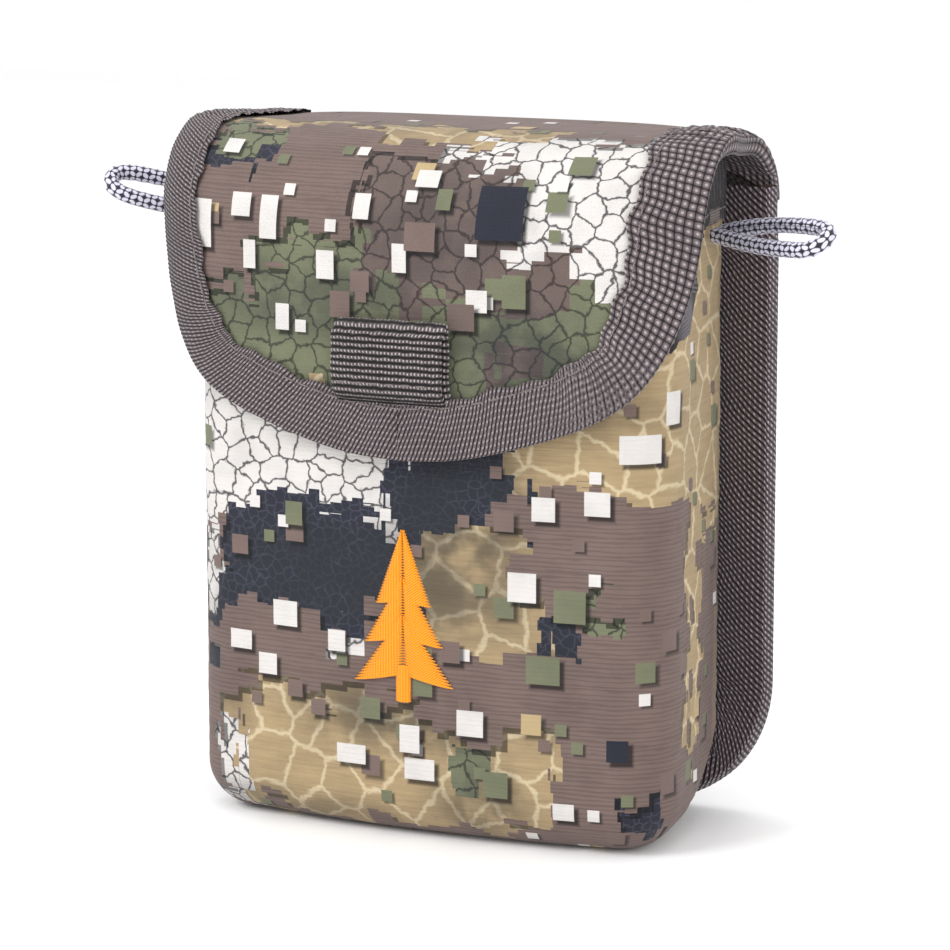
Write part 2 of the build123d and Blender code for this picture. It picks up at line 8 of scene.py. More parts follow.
import bpy
import numpy as np
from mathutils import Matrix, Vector


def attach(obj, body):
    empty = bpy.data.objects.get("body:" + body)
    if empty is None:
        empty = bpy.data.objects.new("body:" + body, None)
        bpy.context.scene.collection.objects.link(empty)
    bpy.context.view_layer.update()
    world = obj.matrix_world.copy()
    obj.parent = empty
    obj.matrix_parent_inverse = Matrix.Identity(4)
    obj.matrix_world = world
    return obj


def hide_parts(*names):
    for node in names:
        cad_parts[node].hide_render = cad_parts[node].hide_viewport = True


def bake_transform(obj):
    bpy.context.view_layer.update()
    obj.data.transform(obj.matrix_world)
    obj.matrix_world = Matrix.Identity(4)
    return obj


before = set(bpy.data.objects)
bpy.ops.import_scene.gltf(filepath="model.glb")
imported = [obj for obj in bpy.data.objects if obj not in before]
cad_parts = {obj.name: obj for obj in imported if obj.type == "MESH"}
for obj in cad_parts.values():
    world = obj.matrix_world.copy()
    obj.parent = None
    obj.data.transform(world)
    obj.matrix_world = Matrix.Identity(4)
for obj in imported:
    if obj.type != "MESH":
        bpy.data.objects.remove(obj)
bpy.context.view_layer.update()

MM = 0.001
UV_UNIT = 0.01               # UV layers are kept in units of 100 mm

# --- camera, at the photographed angle ---
CAMERA_AZIMUTH = 24.5
CAMERA_ELEVATION = 10.3
CAMERA_DISTANCE = 732.8
CAMERA_TARGET = (6.1, -5.4, 66.0)
CAMERA_LENS = 151.1

# --- shell ---
SHELL_FRONT_Y = -21.0
LIP_Y = 21.0
HALF_FRONT = 48.65
HALF_BACK = 44.2
CROWN = 4.65
CORNER_R = 11.1
BASE_R = 8.9
BASE_CURVE_R = 26.4          # the base's rear curves up off the floor
WALL = 3.6
MOUTH_Z = 124.0
MOUTH_ARC_Y = 9.0
MOUTH_ARC_Z = 104.0
MOUTH_FRONT_Z = 103.0
SEAM_R = 1.0                 # small fold where the wall turns out into the lip
SIDE_POINTS = 34             # points along the straight side of the shell's plan

# --- cords ---
CORD_D = 3.0
BRAID_PITCH = 2.6
BRAID_STRANDS = 4            # each way round
BRAID_RELIEF = 0.17

# --- back panel ---
PANEL_CORNER_R = 25.0
VISIBLE_HALF = 53.6          # the tape is drawn in tight round the panel's edge
PANEL_ROLL = 2.2
BACK_Y = 26.4
BACK_INNER_Y = 22.4
TAPE_T = 0.55
TAPE_W = 10.6
FOLD_R = 0.5                 # the tape's outer face where it folds over an edge
STITCH_POINTS = 9            # points along each stitch
HINGE_Z = 119.0

# --- flap ---
FLAP_FRONT_Y = -24.85        # outer face of its fabric at the middle
FLAP_TOP_Z = 129.65
FLAP_FRONT_R = 258.0
SHOULDER_X = 36.0
SHOULDER_R = 29.1
FLAP_BEND_R = 20.0
FLAP_EDGE_BEND_R = 16.0
FLAP_REAR_R = 8.0
FLAP_HALF = 53.7
FLAP_DROOP = 3.0             # how far the top's rear corners hang
FLAP_THICK = 2.3
FLAP_TAIL = 3.4              # how far the flap's layers run down past the hinge


def smooth_step(value, low, high):
    """0 below low, 1 above high, and a smooth ramp between."""
    t = np.clip((value - low) / (high - low), 0.0, 1.0)
    return t * t * (3 - 2 * t)


def ripple(x, y, seed, waves=5, reach=1.0):
    """A smooth, repeatable, uneven surface about zero, made of a few crossing waves."""
    rng = np.random.default_rng(seed)
    total = np.zeros(np.broadcast(x, y).shape)
    for _ in range(waves):
        angle, phase, stretch = rng.uniform(0, pi), rng.uniform(0, 2 * pi), rng.uniform(0.6, 1.6)
        total = total + np.sin((x * cos(angle) + y * sin(angle)) * reach * stretch + phase)
    return total / waves


# --- meshes ---

def grid_faces(rows, cols, close_cols=False, first=0):
    """Quads of a grid whose points are numbered row by row."""
    r, c = np.meshgrid(np.arange(rows - 1), np.arange(cols if close_cols else cols - 1), indexing="ij")
    after = (c + 1) % cols
    quads = np.stack([r * cols + c, (r + 1) * cols + c, (r + 1) * cols + after, r * cols + after], -1)
    return (quads.reshape(-1, 4) + first).tolist()


def make_mesh(name, points, faces, material, uvs=None):
    """A smooth mesh object from points in millimetres; uvs gives each UV layer a value per point."""
    mesh = bpy.data.meshes.new(name)
    mesh.from_pydata((np.asarray(points, float).reshape(-1, 3) * MM).tolist(), [], faces)
    mesh.validate()
    corner_points = np.zeros(len(mesh.loops), np.int64)
    mesh.loops.foreach_get("vertex_index", corner_points)
    for layer_name, values in (uvs or {}).items():
        layer = mesh.uv_layers.new(name=layer_name)
        values = np.asarray(values, float).reshape(-1, 2) * UV_UNIT
        layer.data.foreach_set("uv", values[corner_points].ravel())
    mesh.shade_smooth()
    mesh.materials.append(material)
    piece = bpy.data.objects.new(name, mesh)
    bpy.context.scene.collection.objects.link(piece)
    return piece


def sheet(name, points, prints, material, flip=False):
    """Printed cloth over a grid of points."""
    faces = grid_faces(*points.shape[:2])
    return make_mesh(name, points, [f[::-1] for f in faces] if flip else faces, material, {"print": prints})


def unit(vectors):
    """Vectors of length one."""
    return vectors / np.maximum(np.linalg.norm(vectors, axis=-1, keepdims=True), 1e-12)


def surface_normals(surface, a, b, step=0.05):
    """Outward normals of surface(a, b), found from two short steps."""
    along_a = surface(a + step, b) - surface(a - step, b)
    along_b = surface(a, b + step) - surface(a, b - step)
    return unit(np.cross(along_a, along_b))


# --- surfaces that the cloth follows ---

def flap_front_y(u):
    """Depth of the flap's front at u across: a wide crown with tighter shoulders."""
    reach = np.abs(u)
    shoulder = asin(SHOULDER_X / FLAP_FRONT_R)
    crown = FLAP_FRONT_R * (1 - np.cos(np.arcsin(np.clip(reach, 0, SHOULDER_X) / FLAP_FRONT_R)))
    centre = SHOULDER_X - SHOULDER_R * sin(shoulder)
    turn = np.arcsin(np.clip((reach - centre) / SHOULDER_R, -1, 0.95))
    extra = SHOULDER_R * (cos(shoulder) - np.cos(turn))
    return FLAP_FRONT_Y + crown + np.where(reach > SHOULDER_X, extra, 0)


def flap_section(u):
    """The flap at u across: its share of the half width, the front's depth, the bend's radius, the top's length."""
    share = np.clip(np.abs(u) / FLAP_HALF, 0, 1.05)
    front = flap_front_y(u)
    bend_r = FLAP_BEND_R + (FLAP_EDGE_BEND_R - FLAP_BEND_R) * share ** 2
    return share, front, bend_r, BACK_Y - FLAP_REAR_R - front - bend_r


def flap_surface(u, t):
    """The flap's outer face: u across, t up the front and on over the top, both in millimetres."""
    u, t = np.broadcast_arrays(np.asarray(u, float), np.asarray(t, float))
    share, front, bend_r, top_length = flap_section(u)
    bend_z = FLAP_TOP_Z - bend_r
    past = t - bend_z
    bend = np.clip(past / bend_r, 0, pi / 2)
    top = np.clip(past - bend_r * pi / 2, 0, top_length)
    rear = np.clip((past - bend_r * pi / 2 - top_length) / FLAP_REAR_R, 0, pi / 2)
    down = np.maximum(past - (bend_r + FLAP_REAR_R) * pi / 2 - top_length, 0)
    y = front + bend_r * (1 - np.cos(bend)) + top + FLAP_REAR_R * np.sin(rear)
    z = np.minimum(t, bend_z) + bend_r * np.sin(bend) - FLAP_REAR_R * (1 - np.cos(rear)) - down
    droop = FLAP_DROOP * share ** 5 * smooth_step(y, -4, 20) * smooth_step(z, 118, 127)
    puff = 0.25 * ripple(u, t, 3, reach=0.11) * smooth_step(z, 75, 90)
    return np.stack([u, y - puff, z - droop], -1)


def flap_length(u):
    """How far t runs from the floor's height to the hinge at u across."""
    _, _, bend_r, top_length = flap_section(u)
    down = FLAP_TOP_Z - FLAP_REAR_R - HINGE_Z
    return FLAP_TOP_Z - bend_r + (bend_r + FLAP_REAR_R) * pi / 2 + top_length + down


def panel_surface(a, b):
    """The back panel's rear face: a towards -X, b up."""
    a, b = np.broadcast_arrays(np.asarray(a, float), np.asarray(b, float))
    from_edge = np.minimum(VISIBLE_HALF - np.abs(a), b + 4 * smooth_step(b, 90, 110))
    roll = PANEL_ROLL * (1 - smooth_step(from_edge, -1.0, 12.0))
    return np.stack([-a, BACK_Y - roll - smooth_step(b, 106, 114), b], -1)


def run_length(points):
    """How far each point of a path is from its start."""
    return np.concatenate([[0], np.cumsum(np.linalg.norm(np.diff(points, axis=0), axis=1))])


def shell_outline():
    """Right half of the shell's plan from the front's middle to the lip: points, inward normals, length."""
    front_r = (HALF_FRONT ** 2 + CROWN ** 2) / (2 * CROWN)
    centre = np.array([0, SHELL_FRONT_Y + front_r])
    corner = np.array([HALF_FRONT, SHELL_FRONT_Y + CROWN])
    side = np.array([HALF_BACK, LIP_Y]) - corner
    side_length = np.linalg.norm(side)
    side = side / side_length
    inward = np.array([-side[1], side[0]])
    start = corner + inward * CORNER_R - centre
    along = start @ side
    root = sqrt(max(along ** 2 - start @ start + (front_r - CORNER_R) ** 2, 0))
    travel = min((root - along, -root - along), key=abs)
    round_centre = corner + inward * CORNER_R + travel * side
    lean = atan2(round_centre[0] - centre[0], centre[1] - round_centre[1])
    side_angle = atan2(-inward[0], inward[1])
    points, normals = [], []
    for middle, radius, low, high, count in ((centre, front_r, 0, lean, 40),
                                             (round_centre, CORNER_R, lean, side_angle, 18)):
        for angle in np.linspace(low, high, count, endpoint=False):
            points.append(middle + radius * np.array([sin(angle), -cos(angle)]))
            normals.append([-sin(angle), cos(angle)])
    for share in np.linspace(0, 1, SIDE_POINTS):
        first = corner + travel * side
        last = corner + side * (side_length - SEAM_R)
        points.append(first + (last - first) * share)
        normals.append(inward)
    return np.array(points), np.array(normals), run_length(np.array(points))


def mouth_height(y):
    """Height of the shell's mouth at depth y."""
    r = MOUTH_Z - MOUTH_ARC_Z
    from_centre = np.clip(y, MOUTH_ARC_Y - r, MOUTH_ARC_Y) - MOUTH_ARC_Y
    arc = MOUTH_ARC_Z + np.sqrt(np.maximum(r ** 2 - from_centre ** 2, 0))
    return np.where(y < MOUTH_ARC_Y - r, MOUTH_FRONT_Z, np.maximum(arc, MOUTH_FRONT_Z))


OUTLINE, OUTLINE_IN, OUTLINE_LENGTH = shell_outline()


def wall_surface(a, b):
    """The shell's outer wall: a along the plan from the front's middle, positive to +X, b up."""
    a, b = np.broadcast_arrays(np.asarray(a, float), np.asarray(b, float))
    reach = np.abs(a)
    x = np.interp(reach, OUTLINE_LENGTH, OUTLINE[:, 0])
    y = np.interp(reach, OUTLINE_LENGTH, OUTLINE[:, 1])
    return np.stack([np.sign(a) * x, y, b], -1)


# --- shader graphs ---

def linear(colour):
    """An sRGB colour from 0 to 255 as the linear values a shader takes."""
    share = np.array(colour) / 255.0
    return tuple(np.where(share <= 0.04045, share / 12.92, ((share + 0.055) / 1.055) ** 2.4)) + (1.0,)


class Wire:
    """One output of a shader node; arithmetic with it adds math nodes."""

    def __init__(self, graph, socket):
        self.graph, self.socket = graph, socket

    def __add__(self, other):
        return self.graph.math("ADD", self, other)

    def __sub__(self, other):
        return self.graph.math("SUBTRACT", self, other)

    def __rsub__(self, other):
        return self.graph.math("SUBTRACT", other, self)

    def __mul__(self, other):
        return self.graph.math("MULTIPLY", self, other)

    def __abs__(self):
        return self.graph.math("ABSOLUTE", self)

    def sine(self):
        return self.graph.math("SINE", self)

    def times_plus(self, factor, extra):
        return self.graph.math("MULTIPLY_ADD", self, factor, extra)

    def ramp(self, low, high, start=0.0, end=1.0):
        """A smooth ramp from start at low to end at high."""
        node = self.graph.add("ShaderNodeMapRange", self, interpolation_type="SMOOTHSTEP")
        for name, number in zip(("From Min", "From Max", "To Min", "To Max"), (low, high, start, end)):
            node.inputs[name].default_value = number
        return self.graph.out(node)


class Graph:
    """A cloth-like material and its node graph: most methods add one node and return its output."""

    def __init__(self, name, roughness, sheen=0.0):
        self.material = bpy.data.materials.new(name)
        self.material.use_nodes = True
        self.tree = self.material.node_tree
        self.shader = self.tree.nodes["Principled BSDF"]
        self.shader.inputs["Roughness"].default_value = roughness
        self.shader.inputs["Sheen Weight"].default_value = sheen
        self.shader.inputs["Specular IOR Level"].default_value = 0.25

    def add(self, kind, *inputs, **settings):
        """A node of that kind with its inputs filled in order; None leaves an input as it is."""
        node = self.tree.nodes.new(kind)
        for key, value in settings.items():
            setattr(node, key, value)
        for socket, value in zip(node.inputs, inputs):
            self.fill(socket, value)
        return node

    def fill(self, socket, value):
        """Links or sets one input."""
        if isinstance(value, Wire):
            self.tree.links.new(value.socket, socket)
        elif value is not None:
            socket.default_value = value

    def out(self, node, output=0):
        return Wire(self, node.outputs[output])

    def math(self, operation, *values):
        return self.out(self.add("ShaderNodeMath", *values, operation=operation))

    def vector(self, operation, a, b=None, scale=None):
        node = self.add("ShaderNodeVectorMath", a, b, operation=operation)
        self.fill(node.inputs[3], scale)
        return self.out(node, 1 if operation == "LENGTH" else 0)

    def split(self, vector):
        node = self.add("ShaderNodeSeparateXYZ", vector)
        return self.out(node, 0), self.out(node, 1)

    def join(self, x, y):
        return self.out(self.add("ShaderNodeCombineXYZ", x, y))

    def layer_mm(self, name):
        """A UV layer's place in millimetres."""
        return self.vector("SCALE", self.out(self.add("ShaderNodeUVMap", uv_map=name)), scale=1 / UV_UNIT)

    def noise(self, vector, scale, detail=2.0, colour=False):
        node = self.add("ShaderNodeTexNoise", vector)
        node.inputs["Scale"].default_value = scale
        node.inputs["Detail"].default_value = detail
        return self.out(node, "Color" if colour else "Fac")

    def crackle(self, vector, scale, low, high):
        """1 along the edges of irregular cells and 0 inside them."""
        node = self.add("ShaderNodeTexVoronoi", vector, voronoi_dimensions="2D", feature="DISTANCE_TO_EDGE")
        node.inputs["Scale"].default_value = scale
        return self.out(node, "Distance").ramp(low, high, 1.0, 0.0)

    def blend(self, share, a, b):
        """Two numbers mixed by a share."""
        return self.out(self.add("ShaderNodeMix", share, None, a, b))

    def mix(self, share, a, b, blend="MIX"):
        """Two colours mixed by a share."""
        node = self.add("ShaderNodeMix", share, data_type="RGBA", blend_type=blend)
        self.fill(node.inputs[6], a)
        self.fill(node.inputs[7], b)
        return self.out(node, 2)

    def shade(self, colour, dark, share):
        """colour multiplied down towards dark by a share."""
        return self.mix(share, colour, (dark, dark, dark, 1.0), "MULTIPLY")

    def coat(self, colour, height, strength, distance):
        """Gives the shader its colour and its relief, and returns the finished material."""
        bump = self.add("ShaderNodeBump")
        bump.inputs["Strength"].default_value = strength
        bump.inputs["Distance"].default_value = distance * MM
        self.fill(bump.inputs["Height"], height)
        self.fill(self.shader.inputs["Base Color"], colour)
        self.fill(self.shader.inputs["Normal"], self.out(bump))
        return self.material


WHITE, WHITE_DARK = linear((204, 200, 197)), linear((44, 40, 46))
TAN, TAN_DARK, TAN_PALE = linear((172, 151, 114)), linear((140, 120, 92)), linear((200, 184, 152))
BROWN, BROWN_DARK = linear((110, 93, 88)), linear((70, 56, 52))
GREEN, GREEN_DARK = linear((106, 109, 86)), linear((46, 48, 38))
NAVY, NAVY_PALE = linear((34, 36, 48)), linear((84, 84, 98))
HIDE, HIDE_DARK = linear((100, 86, 81)), linear((34, 26, 25))
# The first colour here darkens the soft clouds: partly the print's airbrushed dark, partly painted shade.
SMOKE_AND_SHADE, STREAK_DARK = linear((34, 38, 42)), linear((88, 78, 68))
CHIP_COLOURS = {"white": WHITE, "brown": BROWN, "green": GREEN, "navy": NAVY, "hide": HIDE}
GROUNDS = {"white": 0, "tan": 1, "brown": 2, "green": 3, "navy": 4, "hide": 5}
SAME_GROUND = 0.3            # how close two ground numbers are when they mean the same ground
BLOCKY_EDGES = ((4.6, 13.0), (2.3, 5.0))      # block size, how far an edge is thrown
PLANK_TURNS = 7.4            # plank lines in the brown ground, in radians per mm
CLOTH_TURNS = 13.0           # weave of the printed cloth, in radians per mm
LOOSE_SQUARES = ((5.3, 0.05, (GREEN, BROWN, TAN)), (3.1, 0.04, (BROWN, WHITE, GREEN)))
LOOSE_HALF = 0.36            # half a loose square's side, as a share of its cell
CHIP_SHADOW = 0.8            # how far a block's shadow lies from it, in mm

# Each patch of the print: ground, middle along, middle up, half length, half height (mm).
SHELL_PATCHES = [
    ("tan", 73, 94, 30, 36), ("tan", 34, 86, 22, 30), ("brown", 74, 28, 30, 28), ("tan", -74, 88, 26, 32),
    ("green", -76, 40, 24, 22), ("white", -28, 69, 24, 13), ("navy", -10, 50, 30, 11), ("navy", 8, 64, 12, 10),
    ("navy", -34, 40, 16, 8), ("white", -45, 44, 4, 9), ("brown", -26, 31, 13, 10), ("tan", 14, 44, 13, 14),
    ("brown", 30, 60, 11, 6), ("brown", 26, 55, 5, 8), ("tan", -6, 14, 34, 12), ("brown", 16, 29, 14, 7),
    ("brown", 42, 30, 9, 26), ("brown", 49, 58, 9, 8), ("white", -39, 10, 3.5, 9), ("navy", 44, 7, 5, 4),
    ("tan", 63, 38, 5, 24), ("white", -12, 34, 3, 3), ("green", 36, 44, 4, 3), ("navy", 30, 38, 4, 3),
    ("green", 12, 16, 4, 4)]
FLAP_PATCHES = [
    ("brown", 0, 150, 60, 26), ("tan", -14, 138, 40, 4), ("hide", 8, 114, 26, 13), ("brown", -32, 120, 22, 16),
    ("white", 35, 116, 13, 18), ("white", 26, 130, 22, 3.5), ("green", 0, 91, 56, 11), ("green", -16, 106, 9, 6),
    ("navy", -40, 126, 11, 3), ("green", -36, 132, 7, 3), ("hide", 26, 104, 8, 4), ("tan", -22, 82, 9, 3),
    ("hide", 24, 90, 7, 3), ("green", -26, 104, 6, 4)]
BACK_PATCHES = [
    ("tan", 30, 84, 24, 20), ("white", -26, 92, 22, 15), ("navy", -16, 66, 26, 9), ("green", 30, 50, 20, 14),
    ("tan", -30, 34, 22, 14), ("white", 16, 20, 12, 9), ("navy", 38, 28, 8, 6), ("green", -8, 106, 18, 7)]

# Soft dark clouds, partly the print's airbrushed dark and partly painted shade such as below the flap's edge: middle
# along, middle up, half length, half height, strength.
SHELL_SMOKE_AND_SHADE = [
    (-6, 48, 38, 13, 0.95), (10, 62, 18, 20, 0.95), (0, 24, 28, 9, 0.9), (30, 30, 14, 10, 0.9), (-42, 30, 10, 16, 0.8),
    (14, 8, 12, 9, 0.7), (0, 82, 54, 7, 0.7), (-30, 3, 34, 5, 0.5), (84, 60, 5, 60, 0.4)]
FLAP_SMOKE_AND_SHADE = [
    (-18, 100, 30, 9, 0.65), (24, 92, 18, 11, 0.8), (-40, 116, 8, 14, 0.55), (8, 114, 20, 14, 0.5),
    (-4, 82, 30, 5, 0.7), (0, 140, 60, 10, 0.35)]
BACK_SMOKE_AND_SHADE = [(-10, 60, 34, 14, 0.5), (20, 30, 22, 12, 0.4)]

# Small separate blocks with a soft shadow: colour, middle along, middle up, half length, half height (mm).
SHELL_CHIPS = [
    ("white", 22, 49, 2.7, 2.7), ("white", 26, 63.5, 2.2, 2.2), ("white", 36, 65, 2.4, 2.2), ("green", 31, 46, 3, 3),
    ("white", 44, 75, 4, 2.6), ("white", 51, 82, 2, 3), ("green", 26, 34, 3.2, 2.6), ("white", -26, 40, 2.6, 2.4),
    ("white", 12, 23, 2.6, 2.4), ("white", -15, 36, 1.8, 2), ("brown", -24, 26, 1.6, 1.6), ("brown", -19, 23, 1.5, 1.5),
    ("white", -12, 15, 3, 1.8), ("white", 2, 13.5, 3, 2), ("white", 0, 19, 2, 2.6), ("green", 17, 12, 2.4, 2.4),
    ("white", -36, 34, 2.4, 1.8), ("brown", -36, 52, 1.8, 1.8), ("green", -24, 59, 1.8, 2.2), ("navy", 40, 20, 2, 2),
    ("white", -30, 30, 2, 2), ("green", -8, 24, 2, 2), ("white", 30, 8, 2, 1.6), ("brown", 8, 36, 2, 2)]
FLAP_CHIPS = [
    ("white", -43, 112, 3.4, 4.4), ("white", -33, 116, 2, 2.2), ("white", -27, 114, 1.8, 4),
    ("white", -31, 107, 1.3, 2.6), ("white", -8, 117, 1.6, 2.4), ("white", -15, 106, 1.8, 2.6),
    ("white", 0, 108, 1.4, 2.6), ("white", 15, 101, 2, 2), ("white", -43, 97, 1.3, 2.6), ("white", -24, 96, 1.4, 2.4),
    ("white", -5, 93, 2.8, 2.8), ("white", 4, 123, 2.2, 1.8), ("navy", 19, 117, 4.4, 5), ("hide", 12, 98, 2.6, 2.4),
    ("green", 8, 119, 1.4, 2), ("green", 32, 127, 2.2, 2.2), ("brown", -12, 99, 2, 2.4), ("green", 22, 103, 2.2, 3),
    ("brown", 4, 112, 3, 2.6), ("white", -38, 128, 1.8, 1.8)]
BACK_CHIPS = [
    ("white", 34, 64, 2.6, 2.6), ("green", -34, 70, 3, 3), ("white", -38, 48, 2, 2), ("brown", 26, 96, 2.4, 2.4),
    ("white", -20, 18, 2.4, 2.4), ("green", 30, 12, 2.6, 2.6), ("white", 36, 108, 2, 2)]


def ground_at(graph, place, patches):
    """Which ground the print has at a place, as its number; later patches lie over earlier ones."""
    jagged = place
    for size, reach in BLOCKY_EDGES:
        block = graph.vector("SNAP", place, (size, size, size))
        jitter = graph.vector("SUBTRACT", graph.noise(block, 0.21, 0.0, colour=True), (0.5, 0.5, 0.5))
        jagged = graph.vector("ADD", jagged, graph.vector("SCALE", jitter, scale=reach))
    x, y = graph.split(jagged)
    ground = GROUNDS["brown"]
    for kind, along, up, half_along, half_up in patches:
        inside = graph.math("COMPARE", x, along, half_along) * graph.math("COMPARE", y, up, half_up)
        ground = graph.math("MULTIPLY_ADD", graph.math("SUBTRACT", GROUNDS[kind], ground), inside, ground)
    return ground


def is_ground(graph, ground, kind):
    return graph.math("COMPARE", ground, float(GROUNDS[kind]), SAME_GROUND)


def outside_block(graph, place, middle, half):
    """How far a place lies outside a rectangle; it is negative inside."""
    away = graph.vector("ABSOLUTE", graph.vector("SUBTRACT", place, (*middle, 0.0)))
    return graph.math("MAXIMUM", *graph.split(graph.vector("SUBTRACT", away, (*half, 0.0))))


def camouflage(name, patches, clouds_and_shade, chips, ridges, side_smear=0.0):
    """The printed cloth: patches with blocky edges, crackle, plank lines and loose squares."""
    graph = Graph(name, 0.82, 0.08)
    place = graph.layer_mm("print")
    x, y = graph.split(place)
    ground = ground_at(graph, place, patches)
    above = ground_at(graph, graph.vector("ADD", place, (-1.0, 1.1, 0.0)), patches)
    warp = graph.vector("SCALE", graph.noise(place, 0.5, 3.0, colour=True), scale=2.2)
    warped = graph.vector("ADD", place, warp)
    fine_crack = graph.crackle(warped, 0.24, 0.015, 0.085)
    wide_crack = graph.crackle(warped, 0.12, 0.01, 0.08)
    small_crack = graph.crackle(warped, 0.55, 0.0, 0.12)
    cloudy = graph.noise(place, 0.12, 4.0)
    smear = graph.noise(graph.join(x * 0.12, y * 1.3), 1.0, 3.0)
    plank = smear.times_plus(9.0, y * PLANK_TURNS).sine().ramp(-0.3, 1.0)

    grounds = {"white": graph.mix(fine_crack * 0.9, WHITE, WHITE_DARK),
               "tan": graph.mix(wide_crack * 0.8, graph.mix(smear, TAN, TAN_DARK), TAN_PALE),
               "brown": graph.mix(plank * 0.35, BROWN, BROWN_DARK),
               "green": graph.mix(fine_crack * 0.85, GREEN, GREEN_DARK),
               "navy": graph.mix(small_crack * 0.4, NAVY, NAVY_PALE),
               "hide": graph.mix(fine_crack * 0.75, HIDE, HIDE_DARK)}
    colour = grounds["white"]
    for kind in GROUNDS:
        colour = graph.mix(is_ground(graph, ground, kind), colour, grounds[kind])

    # Dark clouds: partly the print's airbrushed dark, partly painted shade such as below the flap's edge.
    smoke_and_shade = 0.0
    for along, up, half_along, half_up, strength in clouds_and_shade:
        away = graph.vector("SUBTRACT", place, (along, up, 0.0))
        away = graph.vector("LENGTH", graph.vector("DIVIDE", away, (half_along, half_up, 1.0)))
        smoke_and_shade = graph.math("MAXIMUM", away.ramp(0.3, 1.25, strength, 0.0), smoke_and_shade)
    is_brown = is_ground(graph, ground, "brown")
    smoke_and_shade = smoke_and_shade * cloudy.ramp(0.3, 0.55, 0.3, 1.0) * is_brown.times_plus(-0.85, 1.0)
    colour = graph.mix(smoke_and_shade, colour, graph.mix(0.25, SMOKE_AND_SHADE, colour))
    under_brown = is_ground(graph, above, "brown") * (1.0 - is_brown)
    colour = graph.shade(colour, 0.12, under_brown * 0.8)
    if side_smear:
        streak = graph.noise(graph.join(x, y * 0.05), 0.45, 3.0).ramp(0.35, 0.62)
        near_seam = abs(x).ramp(side_smear - 8.0, side_smear + 4.0)
        colour = graph.mix(near_seam * 0.8, colour, graph.mix(streak, STREAK_DARK, TAN_PALE))

    for size, density, (first, second, third) in LOOSE_SQUARES:
        masks = []
        for shift, softness in (((-0.17 * size, 0.14 * size, 0.0), 0.10), ((0.0, 0.0, 0.0), 0.02)):
            spot = graph.vector("SCALE", graph.vector("ADD", place, shift), scale=1 / size)
            cell = graph.vector("FLOOR", spot)
            in_x, in_y = graph.split(graph.vector("SUBTRACT", spot, cell))
            dice = graph.out(graph.add("ShaderNodeTexWhiteNoise", cell, noise_dimensions="2D"), "Value")
            reach = graph.math("MAXIMUM", abs(in_x - 0.5), abs(in_y - 0.5))
            masks.append(graph.math("LESS_THAN", dice, density)
                         * reach.ramp(LOOSE_HALF - softness, LOOSE_HALF + softness, 1.0, 0.0))
        tint = dice * (1 / density)
        paint = graph.mix(graph.math("GREATER_THAN", tint, 0.36), first, second)
        paint = graph.mix(graph.math("GREATER_THAN", tint, 0.7), paint, third)
        colour = graph.mix(masks[1], graph.shade(colour, 0.16, masks[0] * 0.85), paint)

    for kind, along, up, *half in chips:
        shadow = outside_block(graph, place, (along + CHIP_SHADOW, up - CHIP_SHADOW), half)
        colour = graph.shade(colour, 0.12, shadow.ramp(-0.3, 0.5, 0.92, 0.0))
        block = outside_block(graph, place, (along, up), half).ramp(-0.06, 0.06, 1.0, 0.0)
        colour = graph.mix(block, colour, CHIP_COLOURS[kind])

    colour = graph.shade(colour, 0.62, cloudy.ramp(0.35, 0.75, 0.0, 0.35))
    fine = graph.noise(place, 6.0, 2.0)
    colour = graph.shade(colour, 0.7, fine.ramp(0.45, 0.75, 0.0, 0.4))
    weave = (x * CLOTH_TURNS).sine() * (y * CLOTH_TURNS).sine()
    return graph.coat(colour, weave * 0.2 + plank * ridges + fine * 0.6, 0.6, 0.16)


def knit(name, colour, dark, pitch):
    """A plain brushed cloth for linings."""
    graph = Graph(name, 0.9, 0.15)
    place = graph.layer_mm("print")
    x, y = graph.split(place)
    rows = (y * (2 * pi / pitch)).sine()
    loops = rows * rows.times_plus(0.8, x * (2 * pi / pitch)).sine()
    fluff = graph.noise(place, 2.5, 4.0)
    share = loops.times_plus(0.3, fluff).ramp(0.2, 0.8)
    return graph.coat(graph.mix(share, linear(dark), linear(colour)), loops.times_plus(0.5, fluff), 0.7, 0.2)


# How each tape's ribs run: pitch along the tape, and how far they lean for each millimetre across it.
TAPE_RIBS = {"flap": (0.83, 0.5), "rim": (0.8, 0.0), "back": (1.2, 0.9)}
BASKET_START, BASKET_END = 75.0, 115.0     # the flap's tape turns from a basket weave to ribs along this run
BASKET_ALONG, BASKET_ACROSS, BASKET_LEAN = 1.45, 1.25, 0.35
RIB_RELIEF, PICK_RELIEF, BASKET_RELIEF = 0.075, 0.03, 0.16
TAB_RIB_PITCH, TAB_KNOT_PITCH, BELT_RIB_PITCH = 1.15, 0.72, 1.6


